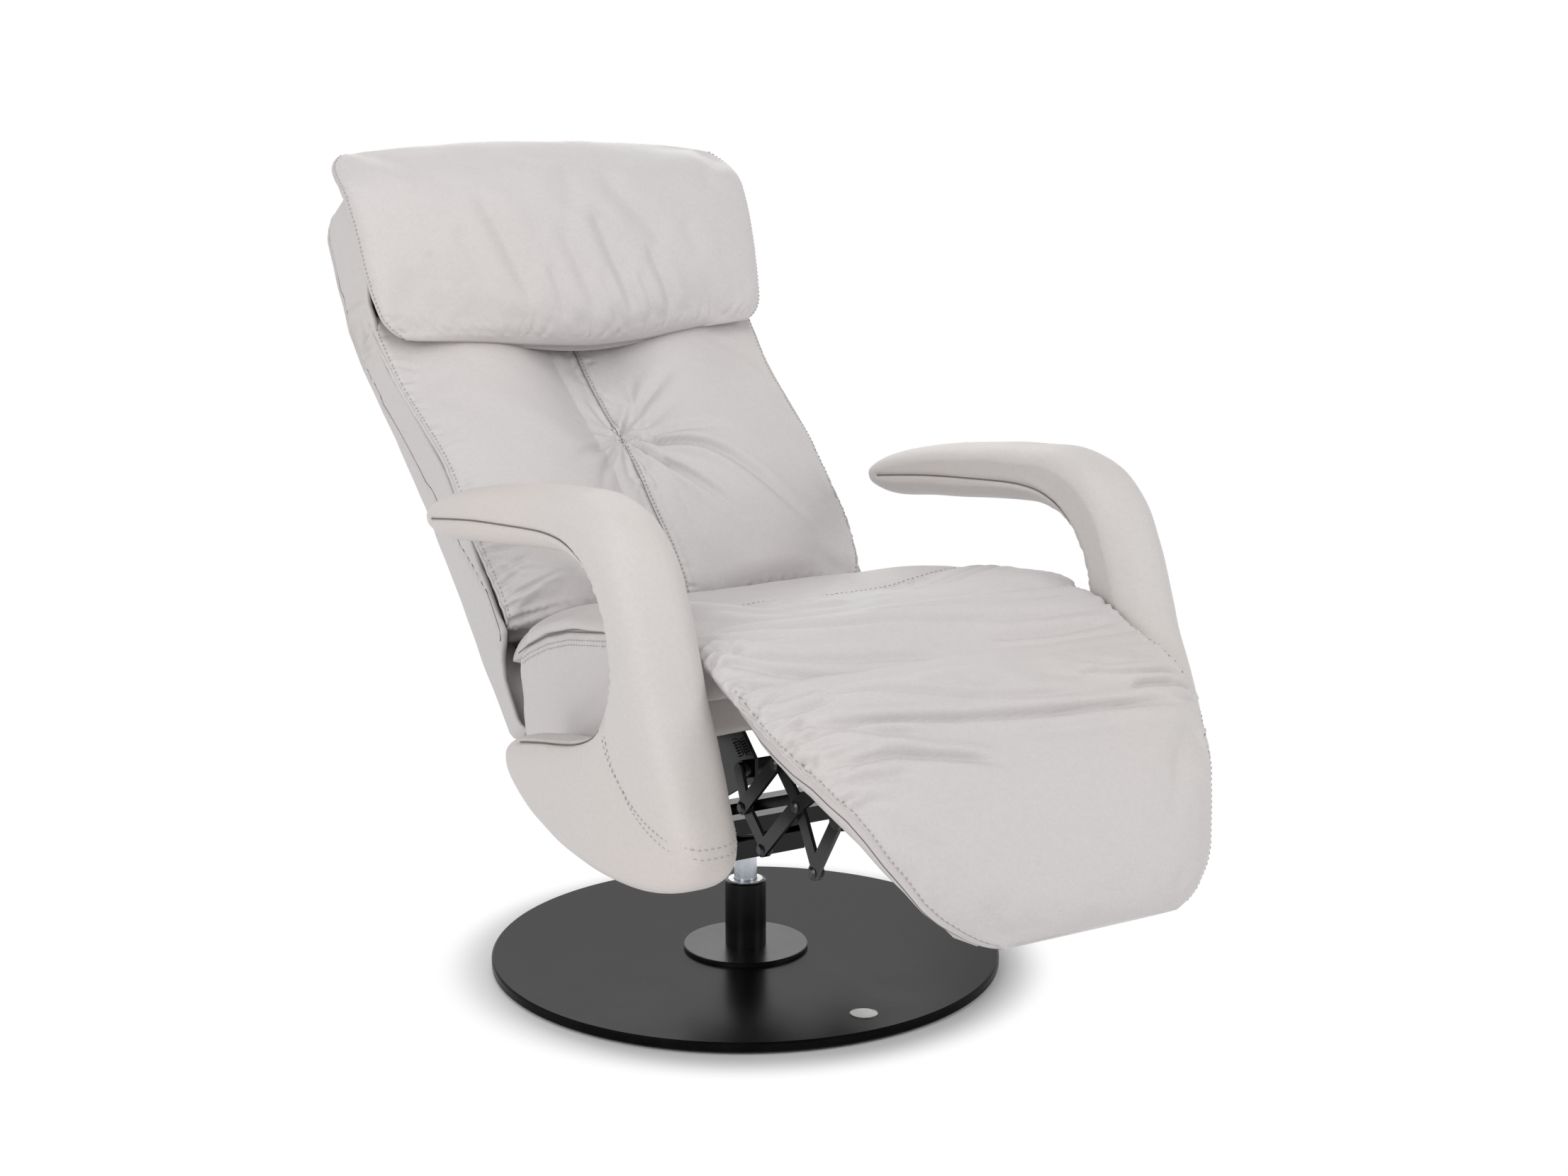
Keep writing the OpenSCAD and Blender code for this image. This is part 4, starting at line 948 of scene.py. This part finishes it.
def makePad():
    vs = 0.4 + (pad["long"] - 0.8) * crowded(pad["rings"], 0.55)
    t = np.linspace(np.pi, 0, 300)
    rows = []
    for v in vs:
        full = rounding(v / 24) * rounding((pad["long"] - v) / 34, 2.3)
        seam, wide = float(np.interp(v, padEdge[:, 0], padEdge[:, 1])), float(padHalf(v))
        crown = 27 - 10 * float(smooth((pad["lid"] + 4 - v) / 26))
        front = stack(wide * soft(np.cos(t), 3.4), v, seam + crown * (0.2 + 0.8 * full) * soft(np.sin(t), 2.5))
        drop = max(2.5, (seam + 7.7) * full)
        rear = stack((wide - 1.5) * soft(np.cos(t[::-1]), 5), v, seam - 1.2 - drop * soft(np.sin(t), 5))
        rows.append(ringOf(front, rear, pad))
    raw = np.array(rows)
    g = padPoint(*columns(raw))
    field = np.zeros(g.shape[:2])
    addFolds(field, g, raw, vs, pad, 60)
    sides = sewnEdges(pad, 2, 2, 150)
    turn = np.interp(pad["turn"], vs, np.arange(pad["rings"]))
    for sg, path in sides.items():
        field += groove(g, pointsAt(g, path), *pad["groove"])
        addEdgePulls(field, g, path[(path[:, 0] > 4) & (path[:, 0] < turn)], sg, pad["edgePulls"])
        addEdgePulls(field, g, path[path[:, 0] >= turn], sg, pad["lowPulls"])
    field += frontOf(g, pad) * waves(raw[..., 0] / 300 + raw[..., 1] / 160, 68)
    g = raised(g, field)
    held = np.maximum(heldEdges(g, pad, sides), smooth((pad["lid"] - 4 - raw[..., 1]) / 14))
    g = settle("footrest_cover", g, held, *pad["cloth"])
    dress(meshFrom("footrest_cover", g), leather, "footrest", ["footrest_pad"])
    rows = edgeTrim("footrest", g, normals(g), sides, "footrest", pad["trim"])
    stitches("footrest_stitches", rows.values(), "footrest", thread, *pad["stitch"])


makePad()
print("footrest made")

# Knee flap: one soft roll from the seat's front edge over the top of the footrest
flap = {
    "path": [[-262, 466], [-274, 480], [-292, 488], [-318, 490], [-350, 483], [-376, 472], [-402, 461], [-428, 449],
             [-449, 440], [-461, 432], [-465, 423]],
    "rings": 96, "front": 236, "rear": 50,
    "halfY": [262, 300, 320, 349, 373, 408, 446, 466], "half": [244, 256, 259.5, 261, 262, 263, 262, 257],
    "folds": [
        ([(-250, 312), (-161, 330), (-90, 342), (-25, 346), (55, 362), (150, 372), (246, 372)], 5.4, 7),
        ([(-256, 344), (-200, 378), (-120, 398), (-60, 404), (20, 418)], 5.4, 7),
        ([(-256, 372), (-190, 408), (-120, 428), (-30, 440)], 4.8, 6), ([(60, 396), (150, 402), (250, 392)], 4.5, 6),
        ([(90, 426), (180, 430), (256, 424)], 4.5, 6), ([(-60, 318), (40, 326), (130, 334), (240, 340)], 3.8, 7),
        ([(-250, 330), (-200, 346), (-150, 352)], 3.5, 5), ([(-258, 400), (-215, 424), (-165, 436)], 3.8, 5)],
    "edgePulls": [(75, 8, 66, 4.6), (85, 12, 30, 2.6)]}


def makeFlap():
    curve = through(flap["path"], np.linspace(0, 1, 400))
    top = evenly(stack(0, curve[:, 0], curve[:, 1]), flap["rings"])
    run = np.linspace(0, 1, flap["rings"])
    t = np.linspace(np.pi, 0, 300)
    rows = []
    for k, (_, y, z) in zip(run, top):
        half = float(np.interp(-y, flap["halfY"], flap["half"]))
        crown = 13 * math.sin(math.pi * min(1, max(0, (k - 0.02) / 0.96))) ** 0.5
        thick = 17 - 12 * float(smooth((k - 0.6) / 0.3))
        up = crown * soft(np.sin(t), 2.6)
        front = stack(half * soft(np.cos(t), 5), y - 0.25 * up * (k > 0.5), z - 4 + up)
        rear = stack((half - 2) * soft(np.cos(t[::-1]), 5), y, z - 5 - thick * soft(np.sin(t), 5))
        rows.append(ringOf(front, rear, flap))
    g = np.array(rows)
    field = np.zeros(g.shape[:2])
    addFolds(field, g, g, -top[:, 1], flap, 60)
    for sg, path in sewnEdges(flap, 6, 4, 90).items():
        addEdgePulls(field, g, path, sg, flap["edgePulls"])
    ease = smooth(run / 0.08) * smooth((1 - run) / 0.06)
    obj = meshFrom("knee_cover", raised(g, field * ease[:, None]))
    dress(obj, leather, "seat", ["knee_flap"])
    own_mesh(obj)


makeFlap()
print("knee flap made")


# Outlines that the back shell shares with the lumbar and the head cushion
def backHalf(z):
    return 260 + 15 * smooth((z - 180) / 300)


def lumbarSeam(z):
    return 74 + 30 * smooth((390 - z) / 200) - 8 * smooth((80 - z) / 90)


def headSeam(u):
    return 115 + 12 * smooth((u + 20) / 150) - 28 * smooth((u - 150) / 74)


# Back shell: one leather skin over the back and the head section, bent at the head hinge.
# A band fold is its first and last height, its first and last depth, and how deep it cuts
shell = {
    "points": 232, "top": 188.0, "corner": 17.0, "outerShare": 0.68, "pulls": 46,
    "seamZ": [-110, -69, -13, 119, 216, 346, 435, 480], "seamDepth": [119, 119, 99, 64, 44, 24, 20, 18],
    "lipZ": [-128, -60, -40, -16, 30, 119, 216, 300, 400, 436, 461],
    "lipDepth": [40, 46, 58, 86, 88, 92, 94, 84, 68, 74, 88],
    "backFolds": [(474, 452, 20, 66, 3.6), (462, 436, 22, 66, 2.6), (448, 424, 24, 64, 2.0), (430, 416, 24, 60, 1.6)],
    "headFolds": [(24, 12, 20, 70, 2.6), (44, 30, 22, 92, 2.0), (80, 66, 60, 104, 1.3)]}


def seamDepth(z):
    return np.interp(z, shell["seamZ"], shell["seamDepth"])


def lipDepth(z):
    # How far forward the shell's side wraps, up to the lumbar cushion's piping
    return np.interp(z, shell["lipZ"], shell["lipDepth"])


def shellRing(wide, lip, rise):
    # U-shaped section with round rear corners and the leather turned in at both lips
    r = shell["corner"]
    a = np.linspace(np.pi, 1.5 * np.pi, 12)
    left = np.stack([-wide + r + r * np.cos(a), r + r * np.sin(a)], 1)
    xs = np.linspace(-wide + r, wide - r, 30)[1:-1]
    rear = np.stack([xs, -5 * (1 - (xs / (wide - r)) ** 2)], 1)
    edge = np.array([[-wide + 1.5, lip], [-wide - 0.4, lip - 4], [-wide, 30]])
    body = np.concatenate([left, rear, left[::-1] * [-1, 1]]) + [0, rise]
    outer = np.concatenate([edge, body, edge[::-1] * [-1, 1]])
    inside = min(lip - 4, 24.0)
    inner = np.array([[wide - 1.5, lip], [wide - 6, lip - 0.5], [wide - 8, lip - 5], [wide - 10, inside],
                      [wide - 40, 21.8]])
    inner = np.concatenate([inner, inner[::-1] * [-1, 1]])
    most = int(shell["points"] * shell["outerShare"])
    return np.concatenate([evenly(outer, most + 1)[:-1], evenly(inner, shell["points"] - most + 1)[:-1]])


def shellGrid():
    top, rows, where = shell["top"], [], []
    for z in np.concatenate([[-128, -127, -124, -119], np.linspace(-112, kinkZ - 18, 172)]):
        end = max(0.0, (-112 - z) / 16)
        ring = shellRing(float(backHalf(z)) - 10 * end ** 2, float(lipDepth(z)), 8 * end ** 2)
        rows.append(backPoint(ring[:, 0], ring[:, 1], z))
        where.append(z)
    for u in np.concatenate([np.linspace(18, top - 16, 58), [top - 10, top - 5, top - 2, top]]):
        over = max(0.0, (u - 130) / (top - 130))
        end = max(0.0, (u - top + 16) / 16)
        lip = float(headSeam(u)) - 10 - 14 * over ** 1.5
        lip = lip + (92 - lip) * float(smooth((60 - u) / 42))
        ring = shellRing(278 - 16 * over ** 2.6 - 8 * end ** 2, lip, 12 * over ** 3 + 9 * end ** 3)
        rows.append(headPoint(ring[:, 0], ring[:, 1], u))
        where.append(kinkZ + u)
    return np.array(rows), np.array(where)


def addBandPulls(field, g, sg):
    # Short pulls over the side band, from its seam and from its front edge by turns
    pick = np.random.RandomState(90 + sg)
    for k in range(shell["pulls"]):
        z = -10 + 470 * pick.rand()
        gap = float(lipDepth(z) - seamDepth(z))
        if gap < 8:
            continue
        strong = 0.5 + 1.5 * math.exp(-((z - 455) / 45) ** 2) + 0.9 * math.exp(-((z - 20) / 60) ** 2)
        t = np.linspace(0, min(gap, 20 + 26 * pick.rand()), 8)
        start, way = (float(lipDepth(z)) - 1, -1) if k % 2 else (float(seamDepth(z)) + 1, 1)
        path = backPoint(sg * (backHalf(z) + 0.3), start + way * t, z + 0.5 * pick.randn() * t)
        field += pull(g, path, strong * (0.4 + 0.8 * pick.rand()), 2.0 + 1.8 * pick.rand())


def makeShell():
    g, where = shellGrid()
    field = 0.8 * waves(where[:, None] / 230 + g[..., 0] / 290, 83)
    t = np.linspace(0, 1, 20)
    lines = {}
    for sg in (-1, 1):
        zz, uu = np.linspace(-24, 461, 90), np.linspace(20, 176, 34)
        lines[sg] = np.concatenate([
            backPoint(sg * backHalf(zz), np.minimum(seamDepth(zz), lipDepth(zz) - 3), zz),
            headPoint(sg * (278 - 14 * np.clip((uu - 130) / 58, 0, 1) ** 2.6), 18.0, uu)])
        field += groove(g, lines[sg], 2.2, 2.8, 0.8)
        addBandPulls(field, g, sg)
        # Deep folds of the side band at the head hinge
        for z0, z1, n0, n1, deep in shell["backFolds"]:
            field += fold(g, backPoint(sg * 275.0, n0 + (n1 - n0) * t, z0 + (z1 - z0) * t), deep, 3.6)
        for u0, u1, n0, n1, deep in shell["headFolds"]:
            field += fold(g, headPoint(sg * 278.0, n0 + (n1 - n0) * t, u0 + (u1 - u0) * t), deep, 3.8)
    x = np.linspace(-250, 250, 60)
    for k in range(3):
        field += fold(g, backPoint(x, -3.0, kinkZ - 24 + 17 * k + 4 * np.sin(x / 80 + k)), 2.2, 5.0)
    g = raised(g, field)
    obj = meshFrom("back_shell_cover", g)
    dress(obj, leather, None, ["back_shell", "head_shell"])
    a, b = backPoint(0, 20, kinkZ - 26) / 1000, headPoint(0, 20, 26) / 1000
    tuple(float(v) for v in a)
    tuple(float(v) for v in b)
    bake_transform(obj)
    n = normals(g)
    # Dark lines of painted shade in the side seams' grooves
    for sg, line in lines.items():
        p, q = onGrid(g, n, line[:86])
        seamShadeLine("back_seam_" + sideName(sg), p, q, "back", 0.8, 0.1)
        p, q = onGrid(g, n, line[94:])
        seamShadeLine("head_back_seam_" + sideName(sg), p, q, "head", 0.8, 0.1)


makeShell()
print("back shell made")

# Lumbar cushion: two crowns, a centre seam and one tuft. The rays' pairs start at the tuft
lumbar = {
    "low": -8.0, "high": 484.0, "rings": 200, "front": 240, "rear": 44, "tuft": 247.0,
    "rays": [
        ([(4, 0), (46, -22), (92, -50), (132, -98), (166, -152), (200, -200)], 9.5, 7.0),
        ([(3, -4), (24, -32), (48, -64), (75, -114), (100, -168)], 8.0, 5.6),
        ([(2, -8), (12, -50), (24, -104)], 4.2, 5.5), ([(4, 4), (28, 26), (60, 56), (112, 100)], 6.0, 9.0),
        ([(3, 6), (26, 34), (44, 66), (58, 100)], 4.5, 6.5), ([(5, 0), (52, -8), (104, -20), (150, -40)], 4.5, 6.5),
        ([(-4, -2), (-30, -16), (-64, -34), (-104, -58)], 5.5, 6.0),
        ([(-4, -5), (-28, -32), (-56, -64), (-80, -104)], 5.0, 6.0), ([(-5, 2), (-36, 12), (-70, 30)], 4.0, 5.5),
        ([(-3, 7), (-14, 40), (-24, 80)], 3.6, 5.5), ([(5, 2), (44, 14), (86, 34)], 3.2, 6.5),
        ([(-3, -8), (-14, -44), (-24, -90)], 3.4, 5.0)],
    "trim": {"lift": 0.5, "radius": 1.9, "inner": 3.0, "ends": 5, "outer": 0},
    "seamGroove": (4.0, 3.2, 1.6), "seamPulls": [(1, 91, 17, 34, 1.6, 0.9), (-1, 92, 17, 30, 1.5, 0.9)],
    "groove": (1.6, 2.4, 0.6), "edgePulls": [(95, 12, 42, 2.2)], "lowEdgePulls": [(97, 9, 84, 4.0)],
    "topPulls": [(1, 99, 18, 44, 1.3)], "lowPulls": [(-1, 100, 16, 40, 1.4)],
    "seamStitch": (6.0, 3.9, 0.8), "sideStitch": (6.2, 3.8, 0.7), "cloth": (1.6, 0.010, 8.0)}


def lumbarFront(x, z):
    crown = 17 * bump(np.abs(x) - 140, 85)
    valley = 34 * bump(x, 62) * (0.70 + 0.30 * smooth((z - 20) / 120))
    down = z - lumbar["tuft"]
    return lumbarSeam(z) + crown - valley - (11 * bump(x, 46) * bump(down, 56) + 12 * bump(x, 20) * bump(down, 24))


def addRays(field, g, raw, zs):
    # Folds that leave the tuft and grow wider and weaker on their way
    for pairs, depth, width in lumbar["rays"]:
        path = trace(raw, zs, lumbar["front"], [(x, lumbar["tuft"] + z) for x, z in pairs], 60)
        d, along = near(g, pointsAt(g, path))
        share = along / along.max()
        fade = smooth(along / 8 + 0.3) * np.clip(1 - share, 0, 1) ** 0.7
        field += frontOf(g, lumbar) * fade * depth * lipped(d, width * (0.45 + 0.75 * share), 0.55)


def makeLumbar():
    low, high, m = lumbar["low"], lumbar["high"], lumbar["front"]
    zs = low + 0.4 + (high - low - 0.8) * crowded(lumbar["rings"], 0.5)
    t = np.linspace(np.pi, 0, 400)
    body = 6 * np.clip(soft(np.sin(t), 1.2) * 4, 0, 1)
    rows = []
    for z in zs:
        full = min(rounding((high - z) / 30), rounding((z - low) / 34))
        wide = float(backHalf(z)) + 1.0 - 9 * float(smooth((110 - z) / 130)) - 9 * (1 - full)
        seam = 46 + (float(lumbarSeam(z)) - 46) * (0.4 + 0.6 * full)
        x = wide * soft(np.cos(t), 6)
        rise = (lumbarFront(x, z) - float(lumbarSeam(z))) * (0.3 + 0.7 * full)
        front = stack(x, seam + body * full + rise * soft(np.sin(t), 3.0), z)
        x, depth = mirrored([wide, wide - 3, wide - 9, wide - 12], [seam, seam - 8, seam - 16, 40.6])
        rows.append(ringOf(front, stack(x, depth, z), lumbar))
    raw = np.array(rows)
    g = backPoint(*columns(raw))
    last = lumbar["rings"] - 1.0
    middle = gridPath(3, last - 2, m / 2, m / 2, 160)
    centre = pointsAt(g, middle)
    field = frontOf(g, lumbar) * groove(g, centre, *lumbar["seamGroove"])
    addPulls(field, g, middle, lumbar["seamPulls"])
    addRays(field, g, raw, zs)
    sides = sewnEdges(lumbar, 2, 1, 170)
    for sg, path in sides.items():
        field += groove(g, pointsAt(g, path), *lumbar["groove"])
        addEdgePulls(field, g, path, sg, lumbar["edgePulls"])
        addEdgePulls(field, g, path[:74], sg, lumbar["lowEdgePulls"])
    addPulls(field, g, gridPath(last - 9, last - 9, 8, m - 8, 120), lumbar["topPulls"])
    addPulls(field, g, gridPath(9.0, 9.0, 8, m - 8, 120), lumbar["lowPulls"])
    field += frontOf(g, lumbar) * waves(raw[..., 0] / 260 + raw[..., 2] / 300, 98)
    g = raised(g, field)
    held = np.maximum(heldEdges(g, lumbar, sides), (near(g, centre)[0] < 5) * 1.0)
    g = settle("lumbar_cover", g, held, *lumbar["cloth"])
    dress(meshFrom("lumbar_cover", g), leather, "back", ["back_cushion"])
    n = normals(g)
    rows = [rowOn(g, n, middle + [0, off], 4, 6) for off in (-1.5, 1.5)]
    stitches("lumbar_centre_stitches", rows, "back", thread, *lumbar["seamStitch"])
    # A dark line of painted shade in the centre seam's groove
    seamShadeLine("lumbar_centre_seam", *rowOn(g, n, middle, 4, 6), "back")
    for sg, row in edgeTrim("lumbar", g, n, sides, "back", lumbar["trim"]).items():
        stitches("lumbar_side_stitches_" + sideName(sg), [row], "back", thread, *lumbar["sideStitch"])


makeLumbar()
print("lumbar cushion made")

# Head cushion: crowned, sewn all round, with a lower edge that droops over the lumbar cushion
head = {
    "low": -38.0, "high": 226.0, "rings": 128, "front": 250, "rear": 70, "topCorner": 58.0, "lowCorner": 32.0,
    "halfU": [-60, -20, 20, 60, 100, 140, 175, 210, 230], "half": [268, 274, 281, 286, 288, 290, 292, 295, 296],
    "folds": [
        ([(-134, 140), (-116, 96), (-100, 50), (-86, 8), (-77, -24)], 4.4, 13),
        ([(26, 110), (36, 66), (46, 26), (54, -8), (62, -30)], 4.8, 12),
        ([(96, 60), (108, 14), (118, -26)], 3.4, 9.5), ([(-26, 92), (-12, 50), (0, 10), (8, -24)], 3.2, 12),
        ([(52, 160), (80, 112), (108, 78), (124, 34)], 3.0, 14), ([(-168, 90), (-148, 40), (-136, 0)], 2.6, 12),
        ([(16, 34), (26, 0), (34, -30)], 3.0, 7), ([(-52, 44), (-44, 8), (-40, -24)], 2.8, 9),
        ([(72, 30), (82, -4), (88, -28)], 3.0, 7), ([(10, 176), (2, 130), (-8, 92)], 2.4, 15),
        ([(-210, 60), (-190, 10)], 2.0, 10), ([(160, 90), (176, 30)], 2.0, 14)],
    "trim": {"lift": 0.4, "radius": 1.8, "inner": 3.0, "ends": 4, "outer": 1.6, "drop": 0.0},
    "groove": (1.8, 2.4, 0.6), "edgePulls": [(101, 14, 30, 1.0)],
    "lowPulls": [(1, 104, 15, 40, 1.5)], "cornerPulls": [(1, 105, 12, 52, 1.6)],
    "stitch": (5.8, 3.8, 0.7), "cloth": (1.5, 0.006, 8.0)}


def makeHead():
    low, high, m = head["low"], head["high"], head["front"]
    us = low + 0.3 + (high - low - 0.6) * crowded(head["rings"], 0.72)
    t = np.linspace(np.pi, 0, 400)
    rows = []
    for u in us:
        down, up = u - low, high - u
        wide = float(np.interp(u, head["halfU"], head["half"]))
        wide -= 0.62 * head["topCorner"] * (1 - rounding(up / head["topCorner"]))
        wide -= 0.85 * head["lowCorner"] * (1 - rounding(down / head["lowCorner"]))
        rise = min(rounding(up / 88, 2.3), rounding(down / 52, 2.4))
        thin = rounding(min(up / 34, down / 20))
        over = float(smooth((34 - u) / 30))
        seam = float(headSeam(u))
        deep = (seam - 50) * (1 - over) + 7 * over
        x = wide * soft(np.cos(t), 4.2)
        front = stack(x, seam + 43 * (1 - 0.2 * (x / wide) ** 2) * rise * soft(np.sin(t), 2.7), u)
        x = (wide - 2 - 6 * (1 - over)) * soft(np.cos(t[::-1]), 4)
        rows.append(ringOf(front, stack(x, seam - 2 - deep * thin * soft(np.sin(t), 2.6), u), head))
    raw = np.array(rows)
    x, depth, u = columns(raw)
    droop = 33 * bump(x, 160) * np.clip((90 - u) / 128, 0, 1)
    rise = 13 * bump(x, 200) * np.clip((u - 90) / 110, 0, 1)
    g = headPoint(x, depth, u - droop + rise)
    field = np.zeros(g.shape[:2])
    addFolds(field, g, raw, us, head, 50)
    sides = sewnEdges(head, 2, 2, 110)
    for sg, path in sides.items():
        field += groove(g, pointsAt(g, path), *head["groove"])
        addEdgePulls(field, g, path, sg, head["edgePulls"])
    lowRow = gridPath(5.0, 5.0, 6, m - 6, 160)
    addPulls(field, g, lowRow, head["lowPulls"])
    addPulls(field, g, lowRow[:60], head["cornerPulls"])
    field += frontOf(g, head) * 1.2 * waves(x / 300 + u / 420, 106)
    g = raised(g, field)
    g = settle("head_cover", g, heldEdges(g, head, sides), *head["cloth"])
    dress(meshFrom("head_cover", g), leather, "head", ["head_cushion"])
    rows = edgeTrim("head", g, normals(g), sides, "head", head["trim"])
    stitches("head_stitches", rows.values(), "head", thread, *head["stitch"])


makeHead()
print("head cushion made")

# Floor that turns into plain white round the base, so that no horizon shows
floorMesh = bpy.data.meshes.new("floor")
floorMesh.from_pydata([(-30, -30, 0), (30, -30, 0), (30, 30, 0), (-30, 30, 0)], [], [(0, 1, 2, 3)])
floor = bpy.data.objects.new("floor", floorMesh)
bpy.context.scene.collection.objects.link(floor)
white = {"Color": (1, 1, 1, 1)}
floorPaint, tree, place = newPaint("floorPaint")
shade = {"Base Color": (0.94, 0.94, 0.945, 1), "Roughness": 0.75, "Specular IOR Level": 0.1}
matt = feed(tree, tree.nodes["Principled BSDF"], shade)
glow = addNode(tree, "Emission", {**white, "Strength": 1.0})
reach = addNode(tree, "VectorMath", (), {0: place}, operation="LENGTH").outputs["Value"]
ends = {"From Min": 0.315, "From Max": 0.38}
fade = addNode(tree, "MapRange", ends, {"Value": reach}, interpolation_type="SMOOTHSTEP").outputs["Result"]
mixer = addNode(tree, "MixShader", (), {"Fac": fade, 1: matt.outputs["BSDF"], 2: glow.outputs[0]})
feed(tree, tree.nodes["Material Output"], (), {"Surface": mixer.outputs["Shader"]})
floorMesh.materials.append(floorPaint)

# World: plain white to the camera and in glossy rays, a softer white as light
world = bpy.data.worlds.new("studio")
bpy.context.scene.world = world
world.use_nodes = True
sky = world.node_tree
ambient = feed(sky, sky.nodes["Background"], {**white, "Strength": 0.46})
seen = addNode(sky, "Background", {**white, "Strength": 1.0})
rays = addNode(sky, "LightPath").outputs
plain = rays["Is Camera Ray"]
for kind in ("Is Glossy Ray", "Is Transmission Ray"):
    plain = addNode(sky, "Math", (), {0: plain, 1: rays[kind]}, operation="MAXIMUM").outputs[0]
mixer = addNode(sky, "MixShader", (), {"Fac": plain, 1: ambient.outputs[0], 2: seen.outputs[0]})
feed(sky, sky.nodes["World Output"], (), {"Surface": mixer.outputs["Shader"]})


def areaLight(name, place, target, size, power):
    data = bpy.data.lights.new(name, "AREA")
    data.shape = "RECTANGLE"
    data.size, data.size_y = size
    data.energy = power
    obj = bpy.data.objects.new(name, data)
    obj.location = place
    obj.rotation_mode = "QUATERNION"
    obj.rotation_quaternion = (Vector(target) - Vector(place)).to_track_quat("-Z", "Y")
    bpy.context.scene.collection.objects.link(obj)


areaLight("overhead", (-0.3, -0.4, 3.2), (0, -0.05, 0.4), (2.6, 2.6), 26)
areaLight("leftSoftbox", (-2.9, -1.5, 1.9), (0, 0, 0.5), (1.8, 2.2), 47)
areaLight("rightSoftbox", (3.0, -3.6, 2.3), (0, 0.1, 0.6), (2.2, 2.6), 64)
areaLight("rim", (1.2, 2.8, 2.0), (0, 0, 0.5), (2.0, 1.4), 16)

camData = bpy.data.cameras.new("camera")
camData.sensor_width = 36.0
camData.lens = 54.65
cam = bpy.data.objects.new("camera", camData)
cam.location = (-1.42, -2.3868, 1.0321)
cam.rotation_euler = (math.radians(90 - 11.58), 0, math.radians(-31.72))
bpy.context.scene.collection.objects.link(cam)
bpy.context.scene.camera = cam
bpy.context.scene.view_settings.view_transform = "Standard"
print("stage made")
